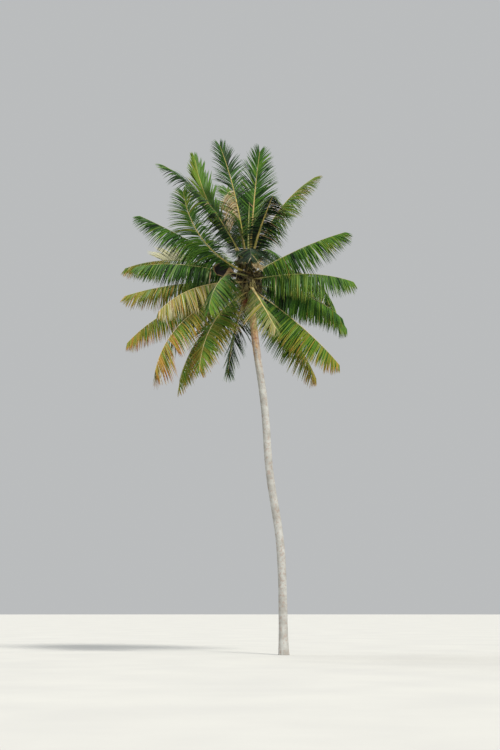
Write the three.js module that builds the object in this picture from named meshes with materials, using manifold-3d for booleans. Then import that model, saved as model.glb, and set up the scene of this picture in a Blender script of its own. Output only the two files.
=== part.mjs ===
// Coconut palm, whole tree. Sizes in millimetres and degrees, Z up, foot of the trunk at the origin.
// The front of the tree faces -Y, with +X to its right as seen from there.

import * as THREE from "three";
import Module from "manifold-3d";

const wasm = await Module();
wasm.setup();
const { Manifold, Mesh: ManifoldMesh } = wasm;

// Trunk
const TRUNK_SIDES = 20;
const FOOT_RADIUS = 153;
const NECK_RADIUS = 126;
const NECK_HEIGHT = 12450;
const FLARE = 42;
const FLARE_REACH = 480;
const TRUNK_STEP = 780;
const FOOT_STEPS = [0, 120, 280, 520];
// The trunk's lean to the left: height, then sideways shift of its centre line.
const LEAN = [
  [0, 0],
  [3600, -95],
  [6200, -462],
  [8600, -642],
  [11000, -968],
  [13200, -1165],
  [15000, -1240],
];

// Heart of the crown, which the frond stems leave
const HEART_LOW = 12450;
const HEART_TOP = 14150;
const HEART_RADIUS = 168;
const HEART_TIP_RADIUS = 34;
const HEART_SWELL = 0.3;
const HEART_TAPER = 1.4;
const HEART_STEPS = 9;

// Frond: rib, stem and leaflets
const RIB_STEPS = 10;
const RIB_FINE_STEPS = 4;
const RIB_SHARE = 0.955;
const RIB_WIDTH = 98;
const RIB_HEIGHT = 58;
const RIB_TIP_WIDTH = 16;
const RIB_TIP_HEIGHT = 10;
const RIB_TAPER = 1.3;
const RIB_ARCH = 1.5;
const BLADE_START = 0.2;
const LEAFLETS = 11;
const LEAFLET_LENGTH = 1150;
const LEAFLET_FILL = 0.78;
const LEAFLET_ROOT = 0.55;
const LEAFLET_THICKNESS_SHARE = 0.014;
const LEAFLET_KNEE = 0.5;
const BEND_NEAR = 0.42;
const BEND_FAR = 1.3;
const LEAFLET_SHORTER = [1, 0.72, 0.48];
const LONGEST_FROM = 0.28;
const FIRST_SHARE = 0.5;
const LAST_SHARE = 0.45;
const SHARE_FALL = 1.5;
const ANGLE_SHARE = 0.34;
const ANGLE_FALL = 2.4;
const STEM_RINGS = 3;
const STEM_OFFSET = 72;
const ROLL_DONE = 0.45;
const CLEARANCE = 3;
const TOUCH = 0.5;
const JOINT_GAP = 0.4;

// Fronds: name, azimuth, rise at the stem, rise at the tip, length, sway, roll, hang of the leaflets below the
// frond's plane, their angle to the rib near the stem, droop, base height, split.
// Azimuth 0 is right, 90 is back, 180 is left and 270 is front. A split of 0 leaves the frond whole.
const FRONDS = [
  ["frond_01", 196, 82, 68, 4600, 0, -65, -8, 60, 0.34, 13830, 0],
  ["frond_02", 40, 86, 80, 4450, 0, 55, -14, 50, 0.2, 13880, 0],
  ["frond_03", 113, 62, 54, 4200, 0, 0, -8, 60, 0.35, 13810, 0],
  ["frond_04", 8, 70, 33, 4500, 0, 0, 24, 72, 0.5, 13630, 0],
  ["frond_05", 294, 56, -22, 4150, -28, 0, 24, 72, 0.55, 13600, 0],
  ["frond_06", 162, 54.5, 79, 5000, -12, -20, -8, 36, 0.1, 13680, 0],
  ["frond_07", 206, 61.5, 31, 5200, -44, 0, 12, 76, 0.45, 13520, 0],
  ["frond_08", 90, 62, 56, 4400, 0, 0, 16, 70, 0.5, 13590, 0],
  ["frond_09", 224, 10, 62, 4600, 30, 0, 4, 68, 0.5, 13340, 0],
  ["frond_10", 72, 44, -20, 4600, 0, 0, 40, 78, 0.5, 13480, 0],
  ["frond_11", 183, 32, 24, 4700, 0, 0, 55, 80, 0.4, 13295, 0],
  ["frond_12", 341, 26, 10, 3950, 0, 0, 60, 82, 0.35, 13280, 0],
  ["frond_13", 271, 16, -48, 4200, 0, 0, 8, 48, 0.26, 13400, 0.5],
  ["frond_14", 161, 25, -16, 5300, 0, 0, 60, 84, 0.35, 13205, 0],
  ["frond_15", 34, 24, -76, 4900, 0, 0, 60, 84, 0.35, 13300, 0.55],
  ["frond_16", 357, -6, -46, 3800, 0, 0, 70, 84, 0.35, 12950, 0],
  ["frond_17", 190, 15, -14, 4300, 0, 0, 60, 84, 0.35, 13155, 0],
  ["frond_18", 246, -2, -74, 4300, 0, 0, 45, 84, 0.35, 13215, 0.5],
  ["frond_19", 88, 20, -45, 4600, 0, 0, 32, 80, 0.35, 13200, 0],
  ["frond_20", 130, 14, -50, 4600, 0, 0, 44, 84, 0.35, 13150, 0],
  ["frond_21", 342, 6, -24, 4050, 0, 0, 66, 86, 0.35, 13120, 0],
  ["frond_22", 174, 2, -17, 4800, 0, 0, 64, 86, 0.35, 13080, 0],
  ["frond_23", 12, 0, -60, 4300, 0, 0, 64, 86, 0.35, 13030, 0],
  ["frond_24", 212, -6, -50, 4300, 0, 0, 68, 86, 0.5, 13040, 0],
  ["frond_25", 60, 0, -60, 4600, 0, 0, 46, 86, 0.35, 13000, 0],
  ["frond_26", 184, -12, -50, 5200, 0, 0, 68, 88, 0.3, 12930, 0],
  ["frond_27", 278, -24, -49, 4500, 20, 0, 46, 86, 0.35, 12940, 0],
  ["frond_28", 105, -20, -70, 4600, 0, 0, 64, 88, 0.35, 12890, 0],
  ["frond_29", 205, -20, -80, 5400, 0, 0, 34, 84, 0.36, 12850, 0],
  ["frond_30", 145, -26, -75, 4600, 0, 0, 64, 88, 0.35, 12800, 0],
  ["frond_31", 232, -28, -86, 4800, 0, 0, 12, 84, 0.36, 12760, 0],
  ["frond_32", 350, -37, -52, 4550, 0, 0, 74, 98, 0.14, 12850, 0],
  ["frond_33", 30, -36, -64, 4300, 0, 0, 64, 88, 0.35, 12730, 0],
  ["frond_34", 206, -34, -84, 5000, 0, 0, 24, 88, 0.3, 12620, 0],
];

// Young leaf, still folded, that stands on the heart's tip
const SPEAR_LENGTH = 1900;
const SPEAR_RADIUS = 27;
const SPEAR_SIDES = 6;
const SPEAR_LEAN = 40;

// Flower sprays: name, azimuth, rise, base height, stalk length, strand length, strands, droop, colour.
const SPRAYS = [
  ["fresh_flower_spray", 306, 24, 13420, 330, 470, 9, 1.4, "fresh_flower"],
  ["dried_flower_spray", 240, -30, 12520, 260, 430, 9, 1.6, "dry_flower"],
];
const STALK_RADIUS = 17;
const STALK_SIDES = 5;
const STRANDS_FROM = 0.55;
const STRAND_RADIUS = 9;
const STRAND_SIDES = 3;
const STRAND_SPREAD = 46;
const STRAND_LIFT = 26;
const STRAND_KNEE = 0.45;

// Woody sheaths of the sprays: name, azimuth, rise, base height, length, half width.
const SHEATHS = [
  ["spray_sheath_left", 271, 80, 13010, 330, 18],
  ["spray_sheath_front", 250, 80, 12690, 480, 32],
];
const SHEATH_FLATNESS = 0.5;
const SHEATH_SIDES = 6;
const YOUNG_FRONDS = 10;
const GROWN_FRONDS = 23;

const COLOURS = {
  trunk: ["#a8a095", 0.9],
  young: ["#3f5d2e", 0.55],
  grown: ["#4b6b2b", 0.55],
  old: ["#8a7a2c", 0.6],
  spear: ["#b8b878", 0.6],
  fresh_flower: ["#d9bf86", 0.7],
  dry_flower: ["#8a5a34", 0.85],
  spathe: ["#c9b48c", 0.8],
};

const radians = (degrees) => (degrees * Math.PI) / 180;
const mix = (a, b, t) => a + (b - a) * t;
const clamp = (value, low, high) => Math.min(high, Math.max(low, value));
const smooth = (t) => t * t * (3 - 2 * t);

// A repeatable number from 0 to 1 for a pair of whole numbers.
function chance(i, j) {
  const wave = Math.sin(i * 12.9898 + j * 78.233) * 43758.5453;
  return wave - Math.floor(wave);
}

// Sideways shift of the trunk's centre line: a smooth curve through the lean's heights.
function lean(z) {
  let k = 0;
  while (k < LEAN.length - 2 && z > LEAN[k + 1][0]) k += 1;
  const [z0, x0] = LEAN[k];
  const [z1, x1] = LEAN[k + 1];
  const before = LEAN[Math.max(0, k - 1)];
  const after = LEAN[Math.min(LEAN.length - 1, k + 2)];
  const slope0 = (x1 - before[1]) / (z1 - before[0]);
  const slope1 = (after[1] - x0) / (after[0] - z0);
  const span = z1 - z0;
  const t = (z - z0) / span;
  const rise0 = (t * t * t - 2 * t * t + t) * span * slope0;
  const rise1 = (t * t * t - t * t) * span * slope1;
  return x0 * (1 - smooth(t)) + x1 * smooth(t) + rise0 + rise1;
}

// Radius of the trunk at a height, with the root flare below and the heart above.
function trunkRadius(z) {
  const stem = mix(FOOT_RADIUS, NECK_RADIUS, clamp(z / NECK_HEIGHT, 0, 1));
  const flare = FLARE * Math.exp(-z / FLARE_REACH);
  if (z <= HEART_LOW) return stem + flare;
  const t = (z - HEART_LOW) / (HEART_TOP - HEART_LOW);
  if (t < HEART_SWELL) return mix(NECK_RADIUS, HEART_RADIUS, smooth(t / HEART_SWELL));
  return mix(HEART_RADIUS, HEART_TIP_RADIUS, Math.pow((t - HEART_SWELL) / (1 - HEART_SWELL), HEART_TAPER));
}

// A closed solid from its corner points and faces, turned to face out.
function closedSolid(points, faces) {
  let volume = 0;
  for (const [a, b, c] of faces) volume += points[a].dot(points[b].clone().cross(points[c]));
  const triangles = volume < 0 ? faces.map(([a, b, c]) => [a, c, b]) : faces;
  const mesh = new ManifoldMesh({
    numProp: 3,
    vertProperties: new Float32Array(points.flatMap((p) => p.toArray())),
    triVerts: new Uint32Array(triangles.flat()),
  });
  return new Manifold(mesh);
}

// Flat lid over a ring of corners, seen from the side that they turn to.
function lid(ring) {
  return ring.slice(2).map((corner, i) => [ring[0], ring[i + 1], corner]);
}

// A closed solid through rings that have the same number of points.
function loft(rings) {
  const count = rings[0].length;
  const faces = [];
  for (let k = 0; k < rings.length - 1; k += 1) {
    for (let i = 0; i < count; i += 1) {
      const a = k * count + i;
      const b = k * count + ((i + 1) % count);
      faces.push([a, b, b + count], [a, b + count, a + count]);
    }
  }
  const first = Array.from({ length: count }, (_, i) => count - 1 - i);
  const last = Array.from({ length: count }, (_, i) => (rings.length - 1) * count + i);
  return closedSolid(rings.flat(), [...faces, ...lid(first), ...lid(last)]);
}

// The trunk from its flat cut at the ground to the tip of the heart, grown by a clearance.
function trunkSolid(grow) {
  const heights = [...FOOT_STEPS];
  const shafts = Math.round((HEART_LOW - FOOT_STEPS[FOOT_STEPS.length - 1]) / TRUNK_STEP);
  for (let k = 1; k <= shafts; k += 1) {
    heights.push(mix(FOOT_STEPS[FOOT_STEPS.length - 1], HEART_LOW, k / shafts));
  }
  for (let k = 1; k <= HEART_STEPS; k += 1) heights.push(mix(HEART_LOW, HEART_TOP, k / HEART_STEPS));
  const rings = heights.map((z, k) => {
    const radius = trunkRadius(z) + grow;
    const level = k === heights.length - 1 ? z + grow : z;
    return Array.from({ length: TRUNK_SIDES }, (_, i) => {
      const turn = (2 * Math.PI * i) / TRUNK_SIDES;
      return new THREE.Vector3(lean(z) + radius * Math.cos(turn), radius * Math.sin(turn), level);
    });
  });
  return loft(rings);
}

// The rib's path: points and frames from the heart's axis to the frond's tip.
function ribPath(frond) {
  const [, azimuth, rise0, rise1, length, sway, roll, , , , base] = frond;
  const count = RIB_STEPS * RIB_FINE_STEPS;
  const step = (length * RIB_SHARE) / count;
  const offset = STEM_OFFSET * Math.max(0, Math.sin(radians(rise0)));
  const out = new THREE.Vector3(Math.cos(radians(azimuth)), Math.sin(radians(azimuth)), 0);
  const point = new THREE.Vector3(lean(base), 0, base).addScaledVector(out, offset);
  const path = [];
  for (let k = 0; k <= count; k += 1) {
    const u = k / count;
    const rise = radians(mix(rise0, rise1, Math.pow(u, RIB_ARCH)));
    const turn = radians(azimuth + sway * u * u);
    const along = new THREE.Vector3(
      Math.cos(rise) * Math.cos(turn),
      Math.cos(rise) * Math.sin(turn),
      Math.sin(rise),
    );
    const side = new THREE.Vector3(-Math.sin(turn), Math.cos(turn), 0);
    side.applyAxisAngle(along, radians(roll * smooth(Math.min(1, u / ROLL_DONE))));
    const up = along.clone().cross(side);
    if (k % RIB_FINE_STEPS === 0) path.push({ point: point.clone(), along, side, up });
    point.addScaledVector(along, step);
  }
  return path;
}

function pathAt(path, u) {
  const place = clamp(u, 0, 1) * RIB_STEPS;
  const k = Math.min(RIB_STEPS - 1, Math.floor(place));
  const t = place - k;
  const blend = (key) => path[k][key].clone().lerp(path[k + 1][key], t);
  return {
    point: blend("point"),
    along: blend("along").normalize(),
    side: blend("side").normalize(),
    up: blend("up").normalize(),
  };
}

const ribWidth = (u) => mix(RIB_TIP_WIDTH, RIB_WIDTH, Math.pow(1 - u, RIB_TAPER));
const ribHeight = (u) => mix(RIB_TIP_HEIGHT, RIB_HEIGHT, Math.pow(1 - u, RIB_TAPER));

// The four corners of the rib's section at a place along the frond, grown by a clearance.
function ribRing(path, u, grow) {
  const { point, side, up } = pathAt(path, u);
  const half = ribWidth(u) / 2 + grow;
  const high = ribHeight(u) / 2 + grow;
  return [[1, 1], [-1, 1], [-1, -1], [1, -1]].map(([s, h]) =>
    point.clone().addScaledVector(side, s * half).addScaledVector(up, h * high));
}

// How long a leaflet is at a place along the blade, as a share of the longest.
function leafletShare(v) {
  const growing = mix(FIRST_SHARE, 1, smooth(clamp(v / LONGEST_FROM, 0, 1)));
  const past = clamp((v - LONGEST_FROM) / (1 - LONGEST_FROM), 0, 1);
  return growing * mix(1, LAST_SHARE, Math.pow(past, SHARE_FALL));
}

// Places along the frond where a leaflet's root starts and ends.
const leafletPlace = (j) => (j + 0.5) / LEAFLETS;
const rootStart = (j) => mix(BLADE_START, 1, (j + 0.5 - LEAFLET_ROOT / 2) / LEAFLETS);
const rootEnd = (j) => mix(BLADE_START, 1, (j + 0.5 + LEAFLET_ROOT / 2) / LEAFLETS);

// One leaflet: corners at its root on the rib's side, at its knee, and its tip. It leaves the rib at an angle that
// closes towards the frond's tip, hangs below the frond's plane by the frond's hang, and bends down by its weight.
function leafletPoints(piece, j, hand, share, grow) {
  const { path, hang, spread, droop, bladeLength } = piece;
  const v = leafletPlace(j);
  const { point, along, side, up } = pathAt(path, mix(BLADE_START, 1, v));
  const angle = radians(spread * mix(1, ANGLE_SHARE, Math.pow(v, ANGLE_FALL)));
  const length = LEAFLET_LENGTH * leafletShare(v) * share + grow;
  const start = new THREE.Vector3()
    .addScaledVector(along, Math.cos(angle))
    .addScaledVector(side, hand * Math.sin(angle) * Math.cos(radians(hang)))
    .addScaledVector(up, -Math.sin(angle) * Math.sin(radians(hang)));
  const aim = (t) => start.clone().add(new THREE.Vector3(0, 0, -droop * t)).normalize();
  const first = aim(BEND_NEAR * share);
  const second = aim(BEND_FAR * share);
  const knee = point.clone().addScaledVector(first, length * LEAFLET_KNEE);
  const tip = knee.clone().addScaledVector(second, length * (1 - LEAFLET_KNEE));
  const bend = first.clone().add(second).normalize();
  const across = along.clone().addScaledVector(bend, -along.dot(bend));
  const half = ((bladeLength / LEAFLETS) * LEAFLET_FILL * across.length()) / 2 + grow;
  across.normalize();
  const face = across.clone().cross(bend).normalize().multiplyScalar(hand);
  const thick = (length * LEAFLET_THICKNESS_SHARE) / 2 + grow;
  const near = ribRing(path, rootStart(j) - grow / bladeLength, grow);
  const far = ribRing(path, rootEnd(j) + grow / bladeLength, grow);
  const [low, high] = hand > 0 ? [3, 0] : [2, 1];
  const kneeCorner = (a, h) =>
    knee.clone().addScaledVector(across, a * half).addScaledVector(face, h * thick);
  return {
    root: [near[low], near[high], far[high], far[low]],
    knee: [kneeCorner(-1, -1), kneeCorner(-1, 1), kneeCorner(1, 1), kneeCorner(1, -1)],
    tip,
  };
}

// Faces from a root of four corners over the knee to the tip.
function leafletFaces(root, knee, tip) {
  const faces = [];
  for (let i = 0; i < 4; i += 1) {
    const n = (i + 1) % 4;
    faces.push([root[i], root[n], knee[n]], [root[i], knee[n], knee[i]], [knee[i], knee[n], tip]);
  }
  return faces;
}

function leafletSolid(piece, j, hand, share, grow) {
  const { root, knee, tip } = leafletPoints(piece, j, hand, share, grow);
  const faces = leafletFaces([0, 1, 2, 3], [4, 5, 6, 7], 8);
  return closedSolid([...root, ...knee, tip], [...faces, [0, 2, 1], [0, 3, 2]]);
}

// Places of the rib's rings between two ends: a few on the stem, then each leaflet's root.
function ribStops(from, to) {
  const stops = [from];
  for (let k = 1; k <= STEM_RINGS; k += 1) stops.push((BLADE_START * k) / (STEM_RINGS + 1));
  for (let j = 0; j < LEAFLETS; j += 1) stops.push(rootStart(j), rootEnd(j));
  stops.push(to);
  return stops.filter((u, i) => i === 0 || i === stops.length - 1 || (u > from && u < to));
}

const ribSolid = (piece, grow) =>
  loft(ribStops(piece.from, piece.to).map((u) => ribRing(piece.path, u, grow)));

// A whole frond as one skin: the rib, with each leaflet growing from a side face of it.
function frondSolid(piece) {
  const stops = ribStops(piece.from, piece.to);
  const points = stops.flatMap((u) => ribRing(piece.path, u, 0));
  const faces = [];
  for (let k = 0; k < stops.length - 1; k += 1) {
    for (let i = 0; i < 4; i += 1) {
      const a = k * 4 + i;
      const b = k * 4 + ((i + 1) % 4);
      const leaflet = piece.leaflets.find((one) => stops[k] === rootStart(one.j) && one.side === i);
      if (leaflet) {
        const start = points.length;
        const { knee, tip } = leafletPoints(piece, leaflet.j, leaflet.hand, leaflet.share, 0);
        points.push(...knee, tip);
        const root = leaflet.hand > 0 ? [a, b, b + 4, a + 4] : [b, a, a + 4, b + 4];
        const made = leafletFaces(root, [start, start + 1, start + 2, start + 3], start + 4);
        faces.push(...(leaflet.hand > 0 ? made : made.map(([p, q, r]) => [p, r, q])));
      } else {
        faces.push([a, b, b + 4], [a, b + 4, a + 4]);
      }
    }
  }
  const last = (stops.length - 1) * 4;
  faces.push(...lid([3, 2, 1, 0]), ...lid([last, last + 1, last + 2, last + 3]));
  return closedSolid(points, faces);
}

// Pieces of every frond: a frond that arches over far is in two, split at its bend.
function frondPieces() {
  const pieces = [];
  for (const frond of FRONDS) {
    const [label, , , , length, , , hang, spread, droop, , split] = frond;
    const path = ribPath(frond);
    const bladeLength = length * RIB_SHARE * (1 - BLADE_START);
    const gap = JOINT_GAP / (length * RIB_SHARE);
    const parts = split
      ? [[`${label}_inner`, 0, split], [`${label}_outer`, split + gap, 1]]
      : [[label, 0, 1]];
    for (const [name, from, to] of parts) {
      pieces.push({ name, path, from, to, bladeLength, hang, spread, droop, leaflets: [] });
    }
  }
  return pieces;
}

const boxed = (solid, owner) => ({ solid, owner, box: solid.boundingBox() });

function overlaps(a, b) {
  const p = a.box;
  const q = b.box;
  for (let k = 0; k < 3; k += 1) {
    if (p.min[k] > q.max[k] || q.min[k] > p.max[k]) return false;
  }
  return a.solid.intersect(b.solid).volume() > TOUCH;
}

const trunk = trunkSolid(0);
const trunkGrown = trunkSolid(JOINT_GAP);
const pieces = frondPieces();
const placed = [boxed(trunkGrown, "trunk")];
for (const piece of pieces) placed.push({ ...boxed(ribSolid(piece, CLEARANCE), piece.name), rib: true });

// Leaflets furthest from the heart are set first, so that those that are skipped lie inside the crown.
const centre = new THREE.Vector3(lean(HEART_LOW), 0, mix(HEART_LOW, HEART_TOP, 0.4));
const wanted = [];
for (const piece of pieces) {
  for (let j = 0; j < LEAFLETS; j += 1) {
    if (rootStart(j) <= piece.from || rootEnd(j) >= piece.to) continue;
    const reach = pathAt(piece.path, rootEnd(j)).point.distanceTo(centre);
    wanted.push({ piece, j, hand: 1, side: 3, reach }, { piece, j, hand: -1, side: 1, reach });
  }
}
wanted.sort((a, b) => b.reach - a.reach);
for (const { piece, j, hand, side } of wanted) {
  for (const share of LEAFLET_SHORTER) {
    const test = boxed(leafletSolid(piece, j, hand, share, CLEARANCE), piece.name);
    const blocked = placed.some((other) => {
      const sibling = other.owner === piece.name;
      return !(sibling && other.rib) && overlaps(test, other);
    });
    if (blocked) continue;
    placed.push(test);
    piece.leaflets.push({ j, hand, side, share });
    break;
  }
}

// The outer skin of a solid alone: a scrap that came loose is dropped and a sealed hollow is filled.
function outerSkin(solid) {
  const { vertProperties: places, triVerts: corners } = solid.getMesh();
  const parent = Array.from({ length: places.length / 3 }, (_, i) => i);
  const rootOf = (i) => {
    let k = i;
    while (parent[k] !== k) {
      parent[k] = parent[parent[k]];
      k = parent[k];
    }
    return k;
  };
  for (let t = 0; t < corners.length; t += 3) {
    parent[rootOf(corners[t])] = rootOf(corners[t + 1]);
    parent[rootOf(corners[t + 1])] = rootOf(corners[t + 2]);
  }
  const at = (i) => new THREE.Vector3(places[3 * i], places[3 * i + 1], places[3 * i + 2]);
  const skins = new Map();
  for (let t = 0; t < corners.length; t += 3) {
    const key = rootOf(corners[t]);
    const skin = skins.get(key) ?? { volume: 0, corners: [] };
    const [a, b, c] = [corners[t], corners[t + 1], corners[t + 2]];
    skin.volume += at(a).dot(at(b).cross(at(c))) / 6;
    skin.corners.push(a, b, c);
    skins.set(key, skin);
  }
  const outer = [...skins.values()].reduce((a, b) => (b.volume > a.volume ? b : a));
  return { places, corners: outer.corners };
}

// A direction from its azimuth and its rise.
function aimed(azimuth, rise) {
  const level = Math.cos(radians(rise));
  return new THREE.Vector3(
    level * Math.cos(radians(azimuth)),
    level * Math.sin(radians(azimuth)),
    Math.sin(radians(rise)),
  );
}

// A rod along a path, with a radius at each point.
function rodSolid(points, radii, sides, flatness = 1) {
  const rings = points.map((point, k) => {
    const before = points[Math.max(0, k - 1)];
    const after = points[Math.min(points.length - 1, k + 1)];
    const along = after.clone().sub(before).normalize();
    const lead = Math.abs(along.z) > 0.9 ? new THREE.Vector3(0, 1, 0) : new THREE.Vector3(0, 0, 1);
    const side = along.clone().cross(lead).normalize();
    const up = side.clone().cross(along);
    return Array.from({ length: sides }, (_, i) => {
      const turn = (2 * Math.PI * i) / sides;
      return point.clone()
        .addScaledVector(side, radii[k] * Math.cos(turn))
        .addScaledVector(up, radii[k] * flatness * Math.sin(turn));
    });
  });
  return loft(rings);
}

// A flower spray: a stalk from the heart with strands that fan out round its end and hang.
function spraySolid([, azimuth, rise, base, stalk, strand, strands, droop], row) {
  const root = new THREE.Vector3(lean(base), 0, base);
  const along = aimed(azimuth, rise);
  const reach = trunkRadius(base) / Math.cos(radians(rise)) + stalk;
  const end = root.clone().addScaledVector(along, reach);
  const parts = [rodSolid([root, end], [STALK_RADIUS, STALK_RADIUS * 0.7], STALK_SIDES)];
  for (let k = 0; k < strands; k += 1) {
    const t = k / (strands - 1);
    const start = root.clone().addScaledVector(along, reach - stalk * STRANDS_FROM * (1 - t) - STRAND_RADIUS);
    const turn = STRAND_SPREAD * (k % 2 ? 1 : -1) * (1 - 0.75 * t);
    const lift = mix(-STRAND_LIFT, STRAND_LIFT, chance(k, row));
    const aim = aimed(azimuth + turn, rise + lift);
    const length = strand * mix(0.75, 1, chance(row, k));
    const bent = aim.clone().add(new THREE.Vector3(0, 0, -droop * 0.5)).normalize();
    const middle = start.clone().addScaledVector(aim, length * STRAND_KNEE);
    const tip = middle.clone().addScaledVector(bent, length * (1 - STRAND_KNEE));
    const radii = [STRAND_RADIUS, STRAND_RADIUS, STRAND_RADIUS * 0.5];
    parts.push(rodSolid([start, middle, tip], radii, STRAND_SIDES));
  }
  return Manifold.union(parts).subtract(trunkGrown);
}

// A woody sheath: a narrow pointed boat that stands out of the heart.
function sheathSolid([, azimuth, rise, base, length, half]) {
  const root = new THREE.Vector3(lean(base), 0, base);
  root.addScaledVector(aimed(azimuth, 0), trunkRadius(base) - half);
  const along = aimed(azimuth, rise);
  const shares = [0, 0.3, 0.6, 0.85, 1];
  const widths = [0.7, 1, 0.9, 0.5, 0.12];
  const points = shares.map((t) => root.clone().addScaledVector(along, length * t));
  return rodSolid(points, widths.map((w) => half * w), SHEATH_SIDES, SHEATH_FLATNESS).subtract(trunkGrown);
}

// The folded young leaf on the heart's tip.
function spearSolid() {
  const foot = new THREE.Vector3(lean(HEART_TOP), 0, HEART_TOP + 2 * JOINT_GAP);
  const shares = [0, 0.25, 0.6, 0.85, 1];
  const widths = [1, 0.95, 0.75, 0.45, 0.15];
  const points = shares.map((t) =>
    foot.clone().add(new THREE.Vector3(SPEAR_LEAN * t * t, 0, SPEAR_LENGTH * t)));
  return rodSolid(points, widths.map((w) => SPEAR_RADIUS * w), SPEAR_SIDES);
}

function meshOf(name, solid, [colour, roughness]) {
  const { places, corners } = outerSkin(solid);
  const geometry = new THREE.BufferGeometry();
  geometry.setAttribute("position", new THREE.BufferAttribute(new Float32Array(places), 3));
  geometry.setIndex(new THREE.BufferAttribute(new Uint32Array(corners), 1));
  geometry.computeVertexNormals();
  const material = new THREE.MeshStandardMaterial({ color: colour, roughness, metalness: 0 });
  const mesh = new THREE.Mesh(geometry, material);
  mesh.name = name;
  return mesh;
}

const palm = new THREE.Group();
palm.name = "coconut_palm";
palm.add(meshOf("trunk", trunk, COLOURS.trunk));
for (const piece of pieces) {
  const number = Number(piece.name.slice(6, 8));
  const older = number > GROWN_FRONDS ? "old" : "grown";
  const age = number > YOUNG_FRONDS ? older : "young";
  palm.add(meshOf(piece.name, frondSolid(piece).subtract(trunkGrown), COLOURS[age]));
}
palm.add(meshOf("spear_leaf", spearSolid(), COLOURS.spear));
SPRAYS.forEach((spray, row) => palm.add(meshOf(spray[0], spraySolid(spray, row), COLOURS[spray[8]])));
for (const sheath of SHEATHS) palm.add(meshOf(sheath[0], sheathSolid(sheath), COLOURS.spathe));

export default palm;
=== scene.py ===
# Coconut palm, whole tree. Metres, Z up, foot of the trunk at the origin.
# The front of the tree faces -Y, with +X to its right as seen from there.
import math
from collections import namedtuple

import bpy
import numpy as np
from bpy.props import FloatProperty, FloatVectorProperty, IntProperty, PointerProperty
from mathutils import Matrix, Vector


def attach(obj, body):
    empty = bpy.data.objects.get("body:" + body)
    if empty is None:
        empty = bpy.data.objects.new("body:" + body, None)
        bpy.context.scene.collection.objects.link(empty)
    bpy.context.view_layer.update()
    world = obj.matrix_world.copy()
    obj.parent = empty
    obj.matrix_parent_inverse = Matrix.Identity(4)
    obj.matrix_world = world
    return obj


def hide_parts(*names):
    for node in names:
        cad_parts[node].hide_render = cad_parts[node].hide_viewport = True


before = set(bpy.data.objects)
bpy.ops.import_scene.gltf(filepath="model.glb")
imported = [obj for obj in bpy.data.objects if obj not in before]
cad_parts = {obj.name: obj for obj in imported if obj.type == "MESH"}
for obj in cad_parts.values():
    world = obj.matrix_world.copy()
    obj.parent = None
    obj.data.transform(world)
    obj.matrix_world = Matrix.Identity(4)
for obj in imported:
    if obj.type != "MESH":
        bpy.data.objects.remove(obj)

bl_info = {
    "name": "Coconut palm",
    "version": (1, 0, 0),
    "blender": (4, 5, 0),
    "location": "View3D > Sidebar > Palm",
    "description": "Dresses the solids of a coconut palm with bark, stems, leaflets and flowers",
    "category": "Object",
}

BODY = "root"

# The trunk's lean to the left: height, then sideways shift of its centre line.
LEAN_HEIGHTS = np.array([0.0, 3.6, 6.2, 8.6, 11.0, 13.2, 15.0])
LEAN_SHIFTS = np.array([0.0, -0.095, -0.462, -0.642, -0.968, -1.165, -1.24])

# Trunk, and the heart of the crown, which the stems leave
HEART_LOW = 12.45
HEART_TOP = 14.15
HEART_RADIUS = 0.168
HEART_TIP_RADIUS = 0.034
HEART_SWELL = 0.3
HEART_TAPER = 1.4
FOOT_RADIUS = 0.153
NECK_RADIUS = 0.126
FLARE = 0.042
FLARE_REACH = 0.48

# Bark: how far its middle lies inside the solid, and the size and reach of the lumps over the roots. Then
# where the leaf scars draw closer, where they fade out and where the tan fibre begins, each as a height and
# a reach.
BARK_INSET = 0.002
ROOT_LUMPS = (0.010, 0.16)
CLOSER_SCARS = (9.5, 3.0)
CLOSER_SHARE = 0.62
FADING_SCARS = (12.2, 0.5)
FIBRE_START = (9.7, 1.6)

# Frond: rib, stem and leaflets
RIB_STEPS = 40
RIB_SHARE = 0.955
RIB_WIDTH = 0.098
RIB_HEIGHT = 0.058
RIB_TIP_WIDTH = 0.016
RIB_TIP_HEIGHT = 0.010
RIB_TAPER = 1.3
RIB_ARCH = 1.5
BLADE_START = 0.17
BLADE_END = 0.995
LONGEST_FROM = 0.28
FIRST_SHARE = 0.42
LAST_SHARE = 0.45
SHARE_FALL = 1.5
ANGLE_SHARE = 0.34
ANGLE_FALL = 2.4
STEM_OFFSET = 0.072
ROLL_DONE = 0.45
LEAFLET_BEND = 1.72
LEAFLET_SEGMENTS = 7
LEAFLET_THICKNESS = 0.0016
# Where a leaflet sits: share of the rib's half width, and of its half height, on a frond whose leaflets
# rise and on the others.
SEAT_OUT = 0.8
SEAT_UP = (0.4, -0.2)
# Leaflet: width at its foot as a share, where it is widest, the two powers of its pointed end, the
# thickness of its middle as a share of its width at the most, and how much of its twist it has at the foot.
LEAFLET_FOOT = 0.5
LEAFLET_WIDEST = 0.18
LEAFLET_POINT = (1.7, 0.9)
RIDGE_SHARE = 0.8
FOOT_TWIST = 0.35
# The last tenth of a blade has shorter leaflets, by up to a third, and none is much longer than the
# longest.
TIP_FROM = 0.9
TIP_SHORTER = 0.35
LONGEST_SHARE = 1.03

# Stem near the heart: the length that the heart hides, then the size and reach of what it gains in half
# width, twice, and in half height. Its top is lower than its underside and narrower, with a hollow whose
# depth and reach are shares, and its foot has another colour over a reach.
STEM_SIDES = 12
STEM_HIDDEN = 0.16
STEM_BROADER = (0.034, 0.9)
STEM_CLASP = (0.05, 0.16)
STEM_HIGHER = (0.010, 0.6)
STEM_HOLLOW = (0.75, 0.12)
STEM_TOP = 0.72
STEM_NARROWER = 0.12
STEM_BROWN = 0.22

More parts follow.
